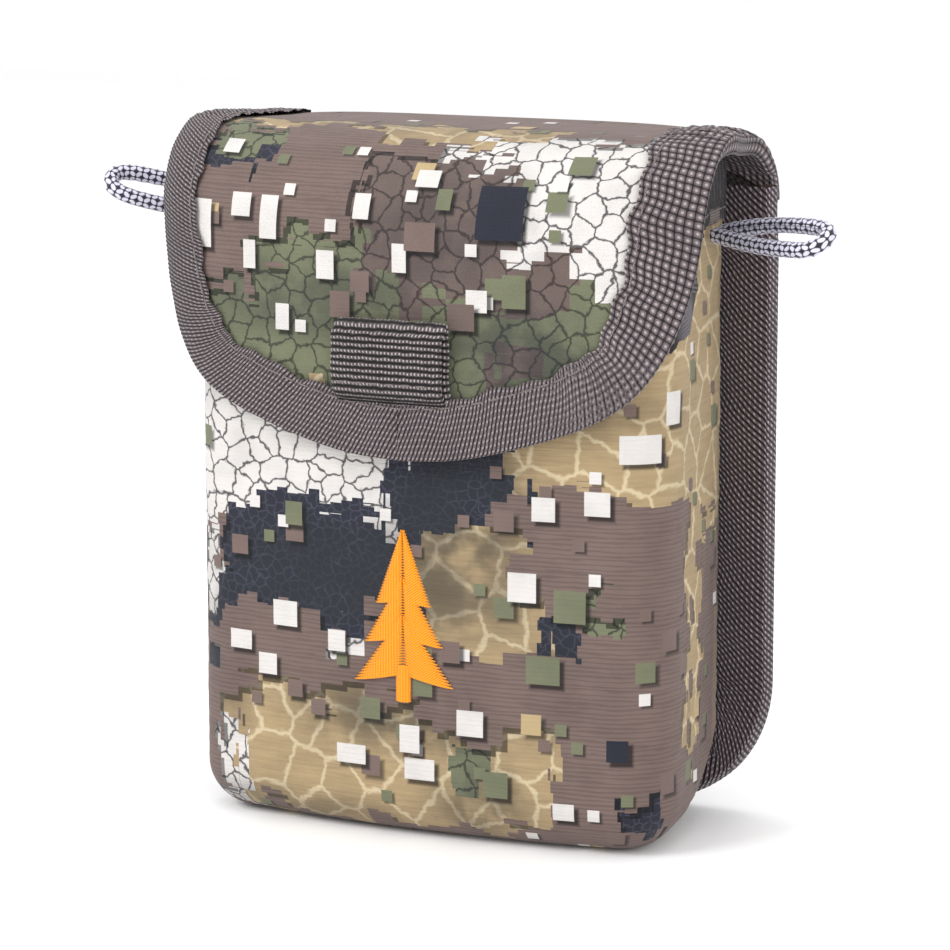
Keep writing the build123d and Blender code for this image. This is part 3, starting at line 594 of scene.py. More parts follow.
def woven(name, base, dark, highlight_colour, ribs, dots, pick_pitch, basket=False):
    """Woven tape or webbing, with painted shade in the rib valleys and basket cell edges and painted highlights on the
    knots and basket cell centres; its UV runs along the tape, then across it.
    """
    pitch, skew = ribs
    graph = Graph(name, 0.8, 0.1)
    place = graph.layer_mm("weave")
    along, across = graph.split(place)
    wobble = graph.noise(place, 0.6, 2.0) * 0.5
    rib = ((across.times_plus(skew, along) + wobble) * (2 * pi / pitch)).sine()
    pick = rib.times_plus(0.9, across * (2 * pi / pick_pitch)).sine()
    knots_and_highlight = rib.ramp(-0.1, 0.9) * pick.ramp(0.0, 0.95) * dots
    fibre = graph.noise(graph.join(along, across * 5.0), 3.0, 3.0)
    ground = rib.ramp(-0.9, 0.4)
    if basket:
        coarse = along.ramp(BASKET_START, BASKET_END, 1.0, 0.0)
        turned = across * BASKET_LEAN + (along + wobble)
        cell = abs((turned * (pi / BASKET_ALONG)).sine()) * abs((across * (pi / BASKET_ACROSS)).sine())
        ground = graph.blend(coarse, ground, cell.ramp(0.0, 0.42))
        knots_and_highlight = graph.blend(coarse, knots_and_highlight * 0.6, cell.ramp(0.68, 1.0) * 0.6)
    # The dark colour is painted shade in the rib valleys and basket cell edges; the pale one is painted highlight on
    # the knots.
    colour = graph.mix(ground, linear(dark), linear(base))
    colour = graph.mix(knots_and_highlight, colour, linear(highlight_colour))
    colour = graph.shade(colour, 0.55, fibre.ramp(0.4, 0.8, 0.0, 0.6))
    colour = graph.shade(colour, 0.7, graph.noise(place, 0.09, 2.0).ramp(0.4, 0.7, 0.0, 0.5))
    return graph.coat(colour, ground * 1.1 + knots_and_highlight * 0.5 + fibre * 0.3, 0.8, 0.2)


def twisted(name, colour, dark, pitch, roughness=0.6, sheen=0.1):
    """Thread: slanting strands around the run; its UV is along, then around."""
    graph = Graph(name, roughness, sheen)
    along, around = graph.split(graph.layer_mm("strand"))
    strand = ((along + around) * (2 * pi / pitch)).sine()
    fibre = graph.noise(graph.join(along * 1.2, around * 5.0), 4.0, 3.0)
    share = fibre.times_plus(1.2, strand).ramp(-0.9, 0.9)
    return graph.coat(graph.mix(share, linear(dark), linear(colour)), fibre.times_plus(0.5, strand), 0.6, 0.1)


def braid(name, colour, dark):
    """Round braid: pale crossing strands with painted shade in the gaps between them, on the same turns as the tube's
    relief.
    """
    graph = Graph(name, 0.5, 0.2)
    along, around = graph.split(graph.layer_mm("strand"))
    turn, run = around * (2 * BRAID_STRANDS / CORD_D), along * (2 * pi / BRAID_PITCH)
    left, right = (turn + run).sine(), (turn - run).sine()
    strands = graph.math("MAXIMUM", left, right)
    between = abs(left - right)
    fibre = graph.noise(graph.join(along * 2.0, around * 2.0), 3.0, 3.0)
    # Painted shade: the dark colour goes in the gaps where no strand stands out and along the lines between strands.
    share = strands.ramp(-0.5, 0.8) * between.ramp(0.05, 0.9)
    share = fibre.times_plus(0.5, share).ramp(0.25, 1.1)
    return graph.coat(graph.mix(share, linear(dark), linear(colour)), fibre.times_plus(0.4, strands), 0.8, 0.2)


def plating(name, colour, dark):
    """A magnet's plated face, with fine grain by the object's own coordinates."""
    graph = Graph(name, 0.35)
    graph.shader.inputs["Metallic"].default_value = 1.0
    place = graph.out(graph.add("ShaderNodeTexCoord"), "Object")
    grain = graph.noise(place, 260.0, 5.0)
    cloudy = graph.noise(place, 26.0, 3.0)
    face = graph.mix(grain.ramp(0.3, 0.7), linear(dark), linear(colour))
    return graph.coat(graph.shade(face, 0.75, cloudy), grain, 0.5, 0.15)


shell_cloth = camouflage("shell_camouflage", SHELL_PATCHES, SHELL_SMOKE_AND_SHADE, SHELL_CHIPS, ridges=0.5, side_smear=84.0)
flap_cloth = camouflage("flap_camouflage", FLAP_PATCHES, FLAP_SMOKE_AND_SHADE, FLAP_CHIPS, ridges=0.3)
back_cloth = camouflage("back_camouflage", BACK_PATCHES, BACK_SMOKE_AND_SHADE, BACK_CHIPS, ridges=0.3)
lining_cloth = knit("lining_knit", (74, 68, 66), (38, 34, 34), pitch=1.4)
magnet_steel = plating("magnet_plating", (150, 150, 152), (104, 104, 108))
# Each tape or webbing below: its colour, the painted shade of its valleys, then the painted highlight of its knots.
flap_tape_weave = woven("flap_tape_weave", (104, 94, 97), (26, 19, 22), (200, 188, 184), TAPE_RIBS["flap"],
                        dots=0.7, pick_pitch=1.1, basket=True)
rim_tape_weave = woven("rim_tape_weave", (76, 70, 76), (24, 19, 22), (140, 132, 136), TAPE_RIBS["rim"],
                       dots=0.4, pick_pitch=0.9)
back_tape_weave = woven("back_tape_weave", (100, 88, 93), (20, 12, 17), (186, 174, 178), TAPE_RIBS["back"],
                        dots=0.8, pick_pitch=0.95)
tab_weave = woven("tab_weave", (84, 75, 75), (12, 7, 9), (200, 191, 194), (TAB_RIB_PITCH, 0.0),
                  dots=0.8, pick_pitch=TAB_KNOT_PITCH)
belt_weave = woven("belt_weave", (70, 66, 68), (26, 22, 25), (116, 110, 112), (BELT_RIB_PITCH, 0.0),
                   dots=0.5, pick_pitch=1.2)
seam_thread = twisted("seam_thread", (128, 118, 116), (60, 50, 50), pitch=0.5)
# The cord's dark colour is painted shade in the braid's gaps.
cord_thread = braid("cord_thread", (206, 204, 222), (30, 28, 38))
emblem_thread = twisted("emblem_thread", (250, 160, 10), (176, 84, 2), pitch=0.55, roughness=0.45, sheen=0.2)


# --- paths and tapes ---

def smooth_path(points, spacing):
    """A rounded, evenly spaced path through given points (rows of two or three numbers)."""
    points = np.asarray(points, float)
    padded = np.vstack([2 * points[0] - points[1], points, 2 * points[-1] - points[-2]])
    fine = []
    for i in range(1, len(padded) - 2):
        p0, p1, p2, p3 = padded[i - 1:i + 3]
        for t in np.linspace(0, 1, 24, endpoint=False):
            fine.append(0.5 * (2 * p1 + (p2 - p0) * t + (2 * p0 - 5 * p1 + 4 * p2 - p3) * t ** 2
                               + (3 * p1 - p0 - 3 * p2 + p3) * t ** 3))
    fine.append(points[-1])
    return even_path(np.array(fine), spacing)


def even_path(points, spacing):
    """The same path with its points an even distance apart."""
    length = run_length(points)
    wanted = np.linspace(0, length[-1], max(int(length[-1] / spacing) + 1, 3))
    return np.stack([np.interp(wanted, length, row) for row in points.T], -1)


def leftward(path):
    """Unit vectors to the left of a flat path's run."""
    run = unit(np.gradient(path, axis=0))
    return np.stack([-run[:, 1], run[:, 0]], -1)


def rib_height(along, across, kind):
    """How far a tape's weave stands out: slanting ribs, and the basket weave of the flap's tape."""
    pitch, skew = TAPE_RIBS[kind]
    rib = RIB_RELIEF * np.sin(2 * pi * (along + skew * across) / pitch)
    if kind != "flap":
        return rib + PICK_RELIEF * np.sin(2 * pi * across / (1.15 * pitch))
    coarse = 1 - smooth_step(along, BASKET_START, BASKET_END)
    turned = np.sin(pi * (along + BASKET_LEAN * across) / BASKET_ALONG)
    cell = np.abs(turned * np.sin(pi * across / BASKET_ACROSS)) ** 0.6
    return rib * (1 - coarse) + BASKET_RELIEF * (cell - 0.5) * coarse


def tape_on(name, surface, path, side, width, inner_width, thick, material, kind, spacing, pucker=None):
    """A tape folded over an edge: path is the edge in the surface's own two coordinates, and side (+1 or -1)
    is which way the tape lies from it. thick is the edge's thickness under the tape."""
    path = even_path(np.asarray(path, float), spacing)
    inward = leftward(path) * side
    along = np.arange(len(path)) * spacing
    waver = 1 + 0.035 * np.sin(along / 2.9) + 0.03 * np.sin(along / 1.3 + 1.0)
    edge_point, edge_normal = surface(*path.T), surface_normals(surface, *path.T)
    outward = unit(edge_point - surface(*(path + inward * 0.5).T))
    outward = unit(outward - edge_normal * np.sum(outward * edge_normal, -1, keepdims=True))

    def laid(v, lift):
        """The line of points at v in from the edge, lifted off the surface."""
        place = path + inward * (v * waver)[:, None]
        return surface(*place.T) + surface_normals(surface, *place.T) * lift[:, None]

    columns, across = [], []
    for v in np.linspace(width, 0.0, int(width / 0.34)):
        share = v / width
        lift = TAPE_T + 0.30 * sin(pi * share) ** 0.7 + 0.16 * share ** 8 * (1 + np.sin(along * 1.7))
        lift = lift + rib_height(along, v, kind) + 0.10 * ripple(along, v, 11, reach=0.5)
        if pucker is not None:
            gather = 0.7 * np.sin(along * 2.6 + 0.25 * v) + 0.3
            lift = lift + pucker(path) * gather * sin(pi * min(share + 0.15, 1.0))
        columns.append(laid(v, lift))
        across.append(v)
    depth = thick + 2 * TAPE_T
    for turn in np.linspace(0, pi, 9)[1:-1]:
        lift = TAPE_T - depth / 2 * (1 - cos(turn))
        reach = FOLD_R * sin(turn) + 0.6 * rib_height(along, -turn, kind)
        columns.append(edge_point + edge_normal * lift + outward * reach[:, None])
        across.append(-turn * depth / pi)
    for v in np.linspace(0.0, inner_width, int(inner_width / 0.6)):
        columns.append(laid(v, TAPE_T - depth + 0.10 * ripple(along, v, 12, reach=0.5)))
        across.append(-depth - v)
    weave = np.stack(np.broadcast_arrays(along[:, None], np.array(across)), -1)
    grid = np.stack(columns, 1)
    faces = grid_faces(*grid.shape[:2])
    if side < 0:
        faces = [f[::-1] for f in faces]
    return make_mesh(name, grid, faces, material, {"weave": weave})


def lay_threads(name, surface, charts, lift, thick=0.42, material=seam_thread):
    """Separate stitches lying on a surface: each chart has STITCH_POINTS points of its two coordinates."""
    points, faces, uv = [], [], []
    share = np.linspace(0, 1, STITCH_POINTS)
    arch = np.sin(pi * share) ** 0.6
    angles = np.arange(8) * pi / 4
    for chart in charts:
        centre, normal = surface(*chart.T), surface_normals(surface, *chart.T)
        across = np.cross(normal, unit(np.gradient(centre, axis=0)))
        length = float(np.sum(np.linalg.norm(np.diff(centre, axis=0), axis=1)))
        first = len(points) * 8
        for k in range(STITCH_POINTS):
            radius = thick / 2 * (0.35 + 0.65 * arch[k])
            middle = centre[k] + normal[k] * (lift + thick * 0.45 * arch[k] - 0.16)
            ring = radius * (np.cos(angles)[:, None] * across[k] + 0.8 * np.sin(angles)[:, None] * normal[k])
            points.append(middle + ring)
            uv.append(np.stack([np.full(8, share[k] * length), angles / pi * thick], -1))
        faces += [f[::-1] for f in grid_faces(STITCH_POINTS, 8, close_cols=True, first=first)]
        last = first + 8 * (STITCH_POINTS - 1)
        faces += [list(range(first, first + 8)), list(range(last + 7, last - 1, -1))]
    return make_mesh(name, np.array(points), faces, material, {"strand": np.array(uv)})


def stitch_charts(paths, stitch=2.6, gap=0.7):
    """Cuts paths into separate stitches."""
    charts = []
    for path in paths:
        path = even_path(np.asarray(path, float), 0.2)
        per, used = int((stitch + gap) / 0.2), int(stitch / 0.2)
        for start in range(0, len(path) - used, per):
            part = path[start:start + used + 1]
            spots = np.linspace(0, len(part) - 1, STITCH_POINTS)
            charts.append(np.stack([np.interp(spots, np.arange(len(part)), row) for row in part.T], -1))
    return charts


# --- shell ---

def base_rise(y):
    """How far the base is off the floor at depth y: its rear curves up."""
    return BASE_CURVE_R - np.sqrt(np.maximum(BASE_CURVE_R ** 2 - np.maximum(y, 0) ** 2, 0))


def shell_grid(inset, columns=210, rows=190):
    """Points of the shell at an inset from its outer face, from the mouth down and across the base."""
    reach = OUTLINE_LENGTH[-1]
    a = np.linspace(-reach, reach, columns)
    plan, inward = (np.stack([np.interp(np.abs(a), OUTLINE_LENGTH, row) for row in table.T], -1)
                    for table in (OUTLINE, OUTLINE_IN))
    plan[:, 0] *= np.sign(a)
    inward[:, 0] *= np.sign(a)
    wall_plan = plan + inward * inset
    rise = base_rise(plan[:, 1])
    top = mouth_height(plan[:, 1]) - 0.3
    radius = BASE_R - inset
    points, prints = [], []
    for share in np.linspace(0, 1, rows - 50):
        z = top + (rise + BASE_R - top) * share
        points.append(np.column_stack([wall_plan, z]))
        prints.append(np.column_stack([a, z]))
    for turn in np.linspace(0, pi / 2, 16)[1:]:
        shift = radius * (1 - cos(turn))
        points.append(np.column_stack([wall_plan + inward * shift, rise + BASE_R - radius * sin(turn)]))
        prints.append(np.column_stack([a, rise + BASE_R - BASE_R * turn]))
    last_plan = points[-1][:, :2]
    spine = np.column_stack([last_plan[:, 0] * 0.82, np.full(len(a), 6.0)])
    for share in np.linspace(0, 1, 36)[1:]:
        place = last_plan + (spine - last_plan) * share
        points.append(np.column_stack([place, base_rise(place[:, 1]) + inset]))
        prints.append(np.column_stack([a, rise - 5 - 24 * share]))
    return np.stack(points, 0), np.stack(prints, 0)


def cushion(points, prints, depth, seed):
    """Presses soft, uneven swells into a grid of points along their normals."""
    across, up = np.gradient(points, axis=1), np.gradient(points, axis=0)
    normals = unit(np.cross(up, across))
    u, v = prints[..., 0], prints[..., 1]
    swell = depth * ripple(u, v, seed, reach=0.09) + 0.35 * depth * ripple(u, v, seed + 1, reach=0.35)
    plank = 0.05 * np.sin(v * PLANK_TURNS + 1.5 * ripple(u, v, seed + 2, reach=0.2))
    side = smooth_step(np.abs(u), 50, 58)
    return points + normals * (swell + plank * (0.4 + side))[..., None]


outer_points, outer_print = shell_grid(0.0)
outer_points = cushion(outer_points, outer_print, depth=0.28, seed=21)
shell_body = sheet("shell_cloth", outer_points, outer_print, shell_cloth, flip=True)
inner_points, inner_print = shell_grid(WALL, columns=150, rows=150)
inner_points = cushion(inner_points, inner_print, depth=0.2, seed=31)
shell_inner = sheet("shell_lining_cloth", inner_points, inner_print, lining_cloth)

rim_reach = OUTLINE_LENGTH[-1] - 0.4
rim_a = np.linspace(rim_reach, -rim_reach, 400)
rim_path = np.column_stack([rim_a, mouth_height(wall_surface(rim_a, 0.0)[:, 1]) - 0.4])
rim_tape = tape_on("rim_tape", wall_surface, rim_path, side=1, width=10.4, inner_width=9.4, thick=WALL,
                   material=rim_tape_weave, kind="rim", spacing=0.34)
rim_seam = np.column_stack([rim_a, rim_path[:, 1] - 8.7])
rim_thread = lay_threads("rim_thread", wall_surface, stitch_charts([rim_seam]), lift=0.9)

# --- flap ---

FLAP_EDGE = smooth_path([(0, 71.7), (9, 72.3), (17.4, 73.9), (27.6, 76.9), (36.0, 80.2), (42.8, 84.7), (47.6, 91.3),
                         (50.9, 100.0), (52.7, 109.0), (53.5, 118.0), (53.7, 127.0), (53.5, 138.0), (51.8, 147.0),
                         (50.8, 155.0), (51.9, 165.0), (52.8, 172.0), (53.0, 180.0), (53.0, 187.0)], 0.5)
FLAP_END = float(flap_length(0.0)) + FLAP_TAIL


def flap_half(t):
    """Half the flap's width at t."""
    return np.interp(t, FLAP_EDGE[:, 1], FLAP_EDGE[:, 0])


def flap_grid(inset, columns, rows, shrink=0.3):
    """Points of the flap at an inset under its outer face."""
    shares = np.linspace(0, 1, rows)
    low = FLAP_EDGE[0, 1] + shrink
    t = low + (FLAP_END - low) * (0.35 * shares ** 2 + 0.65 * shares)
    u = np.linspace(-1, 1, columns)
    half = flap_half(t) - shrink
    half[0] = 0.4
    u_grid, t_grid = u[None, :] * half[:, None], np.repeat(t[:, None], columns, 1)
    bottom = np.interp(np.abs(u_grid), FLAP_EDGE[:120, 0], FLAP_EDGE[:120, 1])
    t_grid = np.maximum(t_grid, np.minimum(bottom + shrink, t_grid + 6))
    points = flap_surface(u_grid, t_grid) - surface_normals(flap_surface, u_grid, t_grid) * inset
    return points, np.stack([u_grid, t_grid], -1)


def hinge_bend(piece):
    """Bakes a flap piece's transform into its mesh."""
    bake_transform(piece)


flap_points, flap_print = flap_grid(0.0, columns=190, rows=230)
flap_body = sheet("flap_cloth", flap_points, flap_print, flap_cloth)
flap_under_points, flap_under_print = flap_grid(FLAP_THICK, columns=110, rows=150)
flap_under = sheet("flap_lining_cloth", flap_under_points, flap_under_print, lining_cloth, flip=True)
u_bend, t_bend = np.meshgrid(np.linspace(-49.5, 49.5, 60), np.linspace(146.0, FLAP_END, 60))
bend_points = flap_surface(u_bend, t_bend) - surface_normals(flap_surface, u_bend, t_bend) * 0.6
hinge_lining = sheet("hinge_lining_cloth", bend_points, np.stack([u_bend, t_bend], -1), lining_cloth, flip=True)
right_edge = FLAP_EDGE[FLAP_EDGE[:, 1] < float(flap_length(53.0)) + FLAP_TAIL]
flap_edge_path = np.vstack([right_edge[::-1], (right_edge * (-1, 1))[1:]])


def flap_pucker(path):
    """The tape gathers where it turns over the top at each side."""
    return 0.55 * smooth_step(path[:, 1], 128, 142) * smooth_step(-path[:, 1], -176, -160)


flap_tape = tape_on("flap_tape", flap_surface, flap_edge_path, side=-1, width=10.7, inner_width=9.6,
                    thick=FLAP_THICK, material=flap_tape_weave, kind="flap", spacing=0.28, pucker=flap_pucker)


def inset_path(path, side, distance):
    """The path moved sideways by a distance."""
    return path + leftward(path) * side * distance


flap_seam = inset_path(even_path(flap_edge_path, 0.8), -1, 9.2)
flap_thread = lay_threads("flap_thread", flap_surface, stitch_charts([flap_seam]), lift=0.88, thick=0.36)

# --- back panel ---


def panel_edge():
    """The back panel's edge from its top right corner (seen from behind) down round to the top left."""
    edge = [(VISIBLE_HALF, 118.7), (VISIBLE_HALF, 60.0), (VISIBLE_HALF, PANEL_CORNER_R)]
    for angle in np.linspace(0, pi / 2, 16)[1:]:
        edge.append((VISIBLE_HALF - PANEL_CORNER_R * (1 - cos(angle)), 0.6 + PANEL_CORNER_R * (1 - sin(angle))))
    edge = np.array(edge)
    return np.vstack([edge, (edge * (-1, 1))[::-1]])


panel_path = even_path(panel_edge(), 0.4)
a_grid, b_grid = np.meshgrid(np.linspace(-1, 1, 120), np.linspace(0.9, 118.9, 130))
corner_drop = np.sqrt(np.maximum(PANEL_CORNER_R ** 2 - np.maximum(PANEL_CORNER_R - b_grid, 0) ** 2, 0))
a_grid = a_grid * (VISIBLE_HALF - 0.6 - (PANEL_CORNER_R - corner_drop))
back_lift = 0.5 * ripple(a_grid, b_grid, 41, reach=0.08) - 0.1
back_points = panel_surface(a_grid, b_grid) + np.stack([0 * a_grid, back_lift, 0 * a_grid], -1)
back_body = sheet("back_cloth", back_points, np.stack([a_grid, b_grid], -1), back_cloth)
back_tape = tape_on("back_tape", panel_surface, panel_path, side=-1, width=TAPE_W, inner_width=TAPE_W, thick=3.6,
                    material=back_tape_weave, kind="back", spacing=0.34)
back_seam = inset_path(even_path(panel_path, 0.8), -1, 8.7)
back_thread = lay_threads("back_thread", panel_surface, stitch_charts([back_seam]), lift=0.9, thick=0.4)


def inner_back(a, b):
    """The pocket's back face, towards the front, and its fold over the panel's top."""
    top_z, fold_r = 117.6, 1.2
    over = np.clip(b - top_z, 0, 6)
    turn = np.minimum(over / fold_r, pi / 2)
    y = BACK_INNER_Y + fold_r * (1 - np.cos(turn)) + np.maximum(over - fold_r * pi / 2, 0)
    z = np.minimum(b, top_z) + fold_r * np.sin(turn)
    return np.stack([a, y - 0.15 * ripple(a, b, 51, reach=0.1), z], -1)


a_in, b_in = np.meshgrid(np.linspace(-43.9, 43.9, 90), np.linspace(6.0, 121.4, 110))
back_inner = sheet("back_lining_cloth", inner_back(a_in, b_in), np.stack([a_in, b_in], -1), lining_cloth)


# --- straps ---

def strap(name, line, half_width, thick, material, ribs, rib_pitch, slide=None, spacing=0.16):
    """Webbing along a line of (y, z) points: a rounded flat section with crosswise ribs."""
    line = smooth_path(line, spacing)
    normal = leftward(line)
    along = np.arange(len(line)) * spacing
    angles = np.linspace(0, 2 * pi, 72, endpoint=False)
    x = half_width * np.sign(np.cos(angles)) * np.abs(np.cos(angles)) ** 0.35
    out = thick / 2 * np.sign(np.sin(angles)) * np.abs(np.sin(angles)) ** 0.5
    sway = np.zeros(len(line)) if slide is None else slide(along / along[-1])
    rows = []
    for k in range(len(line)):
        swell = (0.5 + 0.5 * sin(2 * pi * along[k] / rib_pitch)) ** 0.6
        knot = 0.35 * ribs * np.cos(2 * pi * x / TAB_KNOT_PITCH)
        depth = out + np.sign(out) * swell * (ribs + knot) * np.abs(np.sin(angles)) ** 0.4
        wave = 0.08 * sin(along[k] * 0.9) + 0.10 * swell
        rows.append(np.column_stack([x + sway[k] + wave * np.sign(x), line[k, 0] + normal[k, 0] * depth,
                                     line[k, 1] + normal[k, 1] * depth]))
    grid = np.stack(rows, 0)
    faces = grid_faces(*grid.shape[:2], close_cols=True)
    ring, last = len(angles), (len(line) - 1) * len(angles)
    faces += [list(range(ring)), list(range(last + ring - 1, last - 1, -1))]
    weave = np.stack(np.broadcast_arrays(along[:, None], x), -1)
    return make_mesh(name, grid, faces, material, {"weave": weave})


TAB_X = -1.3
TAB_FRONT_Y = -28.05
tab = strap("pull_tab_webbing", [(-24.4, 80.8), (-25.2, 82.3), (-26.7, 83.6), (-27.45, 85.2), (-27.6, 90.0),
                                 (-27.5, 95.2), (-27.1, 96.4), (-26.7, 96.5), (-26.2, 95.6), (-26.1, 90.0),
                                 (-26.0, 85.5), (-25.4, 83.6), (-24.2, 82.0)],
            half_width=10.8, thick=0.95, material=tab_weave, ribs=0.22, rib_pitch=TAB_RIB_PITCH,
            slide=lambda share: TAB_X + 0.8 * smooth_step(share, 0.44, 0.5))

belt = strap("belt_webbing", [(27.6, 28.0), (27.6, 34.0), (27.7, 40.8), (29.2, 43.2), (31.6, 46.2), (32.1, 50.0),
                              (32.1, 64.0), (32.1, 78.0), (31.6, 81.8), (29.2, 84.8), (27.7, 87.2), (27.6, 94.0),
                              (27.6, 100.0)],
             half_width=18.8, thick=1.35, material=belt_weave, ribs=0.12, rib_pitch=BELT_RIB_PITCH, spacing=0.3)


def box_stitch(low, high, half):
    """A sewn box with a cross in it, on the belt loop's ends: a is across and b is up."""
    corners = [(-half, low), (half, low), (half, high), (-half, high), (-half, low)]
    sides = [np.array([corners[i], corners[i + 1]]) for i in range(4)]
    return sides + [np.array([(-half, low), (half, high)]), np.array([(half, low), (-half, high)])]


belt_thread = lay_threads("belt_thread", lambda a, b: panel_surface(a, b) + np.array([0, 1.95, 0]),
                          stitch_charts(box_stitch(29.5, 39.5, 16.5) + box_stitch(88.5, 98.5, 16.5)),
                          lift=0.25, thick=0.5)


def tab_face(u, v):
    """The pull tab's front face near its seam."""
    u, v = np.broadcast_arrays(np.asarray(u, float), np.asarray(v, float))
    return np.stack([u, np.full(u.shape, TAB_FRONT_Y), v], -1)


tab_seam = np.array([(TAB_X - 10.2, 85.6), (TAB_X + 10.2, 85.6)])
tab_thread = lay_threads("tab_thread", tab_face, stitch_charts([tab_seam]), lift=0.1, thick=0.4)

# --- cord loops ---

RIGHT_LOOP = [(47.3, 12.8, 110.9), (54.5, 10.0, 112.7), (63.3, 6.1, 113.8), (72.8, 1.4, 113.9), (70.6, -3.0, 110.4),
              (62.0, 1.3, 109.9), (54.2, 5.3, 110.0), (47.3, 8.7, 110.9)]
LEFT_LOOP = [(-47.3, 12.8, 110.9), (-54.6, 10.1, 113.5), (-63.4, 6.0, 116.4), (-72.9, 1.2, 118.4), (-71.2, -3.2, 114.8),
             (-62.4, 1.1, 111.9), (-54.3, 5.2, 110.9), (-47.3, 8.7, 110.9)]


def cord_path(name, route):
    """Points along the curve that the route shapes."""
    curve = bpy.data.curves.new(name, "CURVE")
    curve.dimensions = "3D"
    curve.resolution_u = 24
    spline = curve.splines.new("NURBS")
    spline.points.add(len(route) - 1)
    for point, place in zip(spline.points, route):
        point.co = (*[c * MM for c in place], 1.0)
    spline.order_u = 3
    spline.use_endpoint_u = True
    holder = bpy.data.objects.new(name, curve)
    bpy.context.scene.collection.objects.link(holder)
    bpy.context.view_layer.update()
    mesh = bpy.data.meshes.new_from_object(holder)
    points = np.array([v.co for v in mesh.vertices]) / MM
    bpy.data.objects.remove(holder)
    bpy.data.meshes.remove(mesh)
    return points


def braided_tube(name, path, diameter, material):
    """A round braid along a path: crossing strands stand out of the surface."""
    spacing, ring = 0.22, 40
    line = even_path(path, spacing)
    tangent = unit(np.gradient(line, axis=0))
    side = np.cross(tangent[0], (0, 0, 1.0))
    sides = []
    for direction in tangent:
        side = side - direction * (side @ direction)
        side = side / np.linalg.norm(side)
        sides.append(side)
    sides = np.array(sides)
    ups = np.cross(tangent, sides)
    angles = np.linspace(0, 2 * pi, ring, endpoint=False)
    along = np.arange(len(line)) * spacing
    turn, run = BRAID_STRANDS * angles, 2 * pi * along[:, None] / BRAID_PITCH
    radius = diameter / 2 - BRAID_RELIEF + BRAID_RELIEF * np.maximum(np.sin(turn + run), np.sin(turn - run))
    flat = 1 + 0.03 * np.sin(along / 3.1)
    grid = (line[:, None, :] + (radius * np.cos(angles))[..., None] * sides[:, None, :]
            + (radius * flat[:, None] * np.sin(angles))[..., None] * ups[:, None, :])
    faces = grid_faces(len(line), ring, close_cols=True)
    last = (len(line) - 1) * ring
    faces += [list(range(ring - 1, -1, -1)), list(range(last, last + ring))]
    strand = np.stack(np.broadcast_arrays(along[:, None], angles * diameter / 2), -1)
    return make_mesh(name, grid, faces, material, {"strand": strand})


cord_pieces = {}
for cord_name, route in (("right", RIGHT_LOOP), ("left", LEFT_LOOP)):
    line = cord_path(f"loop_route_{cord_name}", route)
    cord_pieces[cord_name] = braided_tube(f"cord_{cord_name}", line, CORD_D, cord_thread)

tack_charts = []
for wall_side in (1, -1):
    for tack_y in np.arange(8.3, 14.5, 0.55):
        tack_a = wall_side * float(np.interp(tack_y, OUTLINE[-SIDE_POINTS:, 1], OUTLINE_LENGTH[-SIDE_POINTS:]))
        tack_charts.append(np.linspace((tack_a, 112.4), (tack_a, 115.6), STITCH_POINTS))
tack_thread = lay_threads("tack_thread", wall_surface, tack_charts, lift=0.75, thick=0.5)

# --- emblem ---

TREE_X, TREE_Z, TREE_H, TREE_HALF = -1.1, 26.2, 31.7, 9.6
TREE_TIERS = ((0.16, 0.50, 1.00), (0.38, 0.72, 0.78), (0.60, 1.00, 0.54))


def satin_rows():
    """Slanting satin stitches that fill the tree, in two halves that meet on its centre line."""
    charts = []
    for base, top, width in TREE_TIERS:
        for z in np.arange(base, top, 0.5 / TREE_H):
            half = TREE_HALF * width * (1 - (z - base) / (top - base)) + 0.35
            for hand in (-1, 1):
                share = np.linspace(0, 1, STITCH_POINTS)
                x = TREE_X + hand * share * half
                charts.append(np.column_stack([x, TREE_Z + TREE_H * z - 0.20 * half * share]))
    for z in np.arange(0.0, 0.20, 0.42 / TREE_H):
        share = np.linspace(-1, 1, STITCH_POINTS)
        charts.append(np.column_stack([TREE_X + share * 1.55, 0 * share + TREE_Z + TREE_H * z]))
    return charts


emblem = lay_threads("emblem_stitching", wall_surface, satin_rows(), lift=0.22, thick=0.74, material=emblem_thread)

# --- frame ---

for piece in (shell_body, shell_inner, rim_tape, rim_thread, back_body, back_inner, back_tape, back_thread, belt,
              belt_thread, tack_thread, emblem):
    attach(piece, "pouch")
for piece in (flap_body, flap_tape, flap_thread):
    hinge_bend(piece)
for piece in (flap_under, hinge_lining):
    hinge_bend(piece)
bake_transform(tab)
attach(tab_thread, "tab")
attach(cord_pieces["left"], "loop_left")
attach(cord_pieces["right"], "loop_right")

STANDS_FOR = [
    (shell_body, "camo_fabric", ("shell_skin", "shell_foam")), (shell_inner, "lining", ("shell_lining",)),
    (rim_tape, "tape", ("rim_binding",)), (rim_thread, "thread", ("rim_stitches",)),
    (emblem, "emblem", ("emblem",)), (back_inner, "lining", ("back_lining",)),
    (back_body, "camo_fabric", ("back_skin", "back_foam", "back_stiffener")),
    (back_tape, "tape", ("back_binding",)), (back_thread, "thread", ("back_stitches",)),
    (belt, "webbing", ("belt_loop",)), (belt_thread, "thread", ("belt_stitches",)),
    (tack_thread, "thread", ("loop_tacks",)), (flap_body, "camo_fabric", ("flap_skin", "flap_foam")),
    (flap_under, "lining", ("flap_lining",)), (hinge_lining, "lining", ()), (flap_tape, "tape", ("flap_binding",)),
    (flap_thread, "thread", ("flap_stitches",)), (tab, "webbing", ("pull_tab",)),
    (tab_thread, "thread", ("tab_stitches",)), (cord_pieces["left"], "cord", ("cord_loop_left",)),
    (cord_pieces["right"], "cord", ("cord_loop_right",))]
for piece, slot, nodes in STANDS_FOR:
    if nodes:
        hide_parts(*nodes)
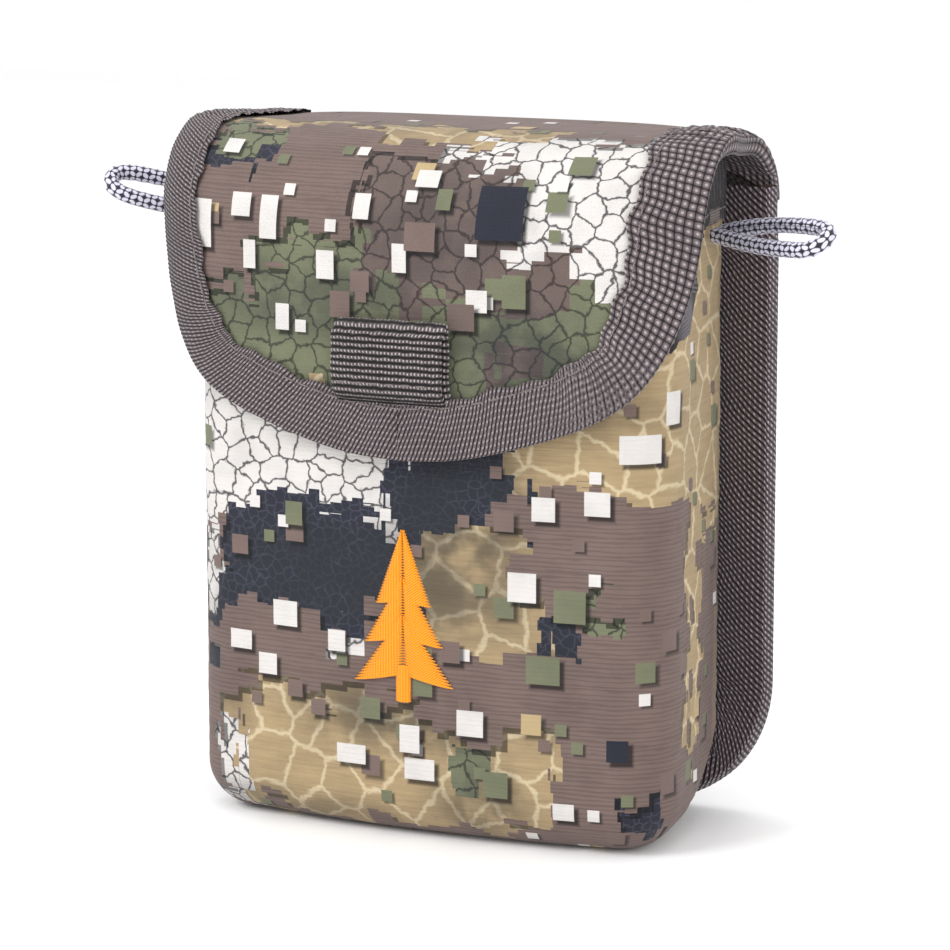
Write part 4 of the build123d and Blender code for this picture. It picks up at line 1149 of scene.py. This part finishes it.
for node in ("shell_magnet", "flap_magnet"):
    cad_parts[node].data.materials.clear()
    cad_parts[node].data.materials.append(magnet_steel)

# --- floor, light, camera ---

bpy.context.scene.view_settings.view_transform = "Standard"
FLOOR_HALF, FLOOR_Z = 1500, -0.3
floor_paint = Graph("floor_paint", roughness=0.6)
floor_paint.shader.inputs["Base Color"].default_value = (0.95, 0.95, 0.955, 1)
floor_corners = [(FLOOR_HALF * x, FLOOR_HALF * y, FLOOR_Z) for x, y in ((-1, -1), (1, -1), (1, 1), (-1, 1))]
floor = make_mesh("floor", floor_corners, [(0, 1, 2, 3)], floor_paint.material)

world = bpy.data.worlds.new("studio")
bpy.context.scene.world = world
world.use_nodes = True
sky = world.node_tree.nodes["Background"]
sky.inputs["Color"].default_value = (1, 1, 1, 1)
sky.inputs["Strength"].default_value = 1.0


def soft_box(name, place, size, power, aim=(0, 0, 0.06)):
    """A square area light looking at the pouch's middle; places are in metres."""
    light = bpy.data.lights.new(name, "AREA")
    light.size, light.energy = size, power
    lamp = bpy.data.objects.new(name, light)
    lamp.location = place
    lamp.rotation_euler = (Vector(aim) - Vector(place)).to_track_quat("-Z", "Y").to_euler()
    bpy.context.scene.collection.objects.link(lamp)


soft_box("key_light", (-0.55, -0.75, 0.75), size=0.5, power=7.0)
soft_box("fill_light", (0.8, -0.6, 0.35), size=0.7, power=3.4)
soft_box("top_light", (0.0, 0.2, 1.0), size=0.6, power=2.6)

camera_data = bpy.data.cameras.new("camera")
camera_data.lens, camera_data.sensor_width = CAMERA_LENS, 36.0
camera = bpy.data.objects.new("camera", camera_data)
azimuth, elevation = radians(CAMERA_AZIMUTH), radians(CAMERA_ELEVATION)
back = Vector((sin(azimuth) * cos(elevation), -cos(azimuth) * cos(elevation), sin(elevation)))
camera.location = (Vector(CAMERA_TARGET) + back * CAMERA_DISTANCE) * MM
camera.rotation_euler = (-back).to_track_quat("-Z", "Y").to_euler()
bpy.context.scene.collection.objects.link(camera)
bpy.context.scene.camera = camera
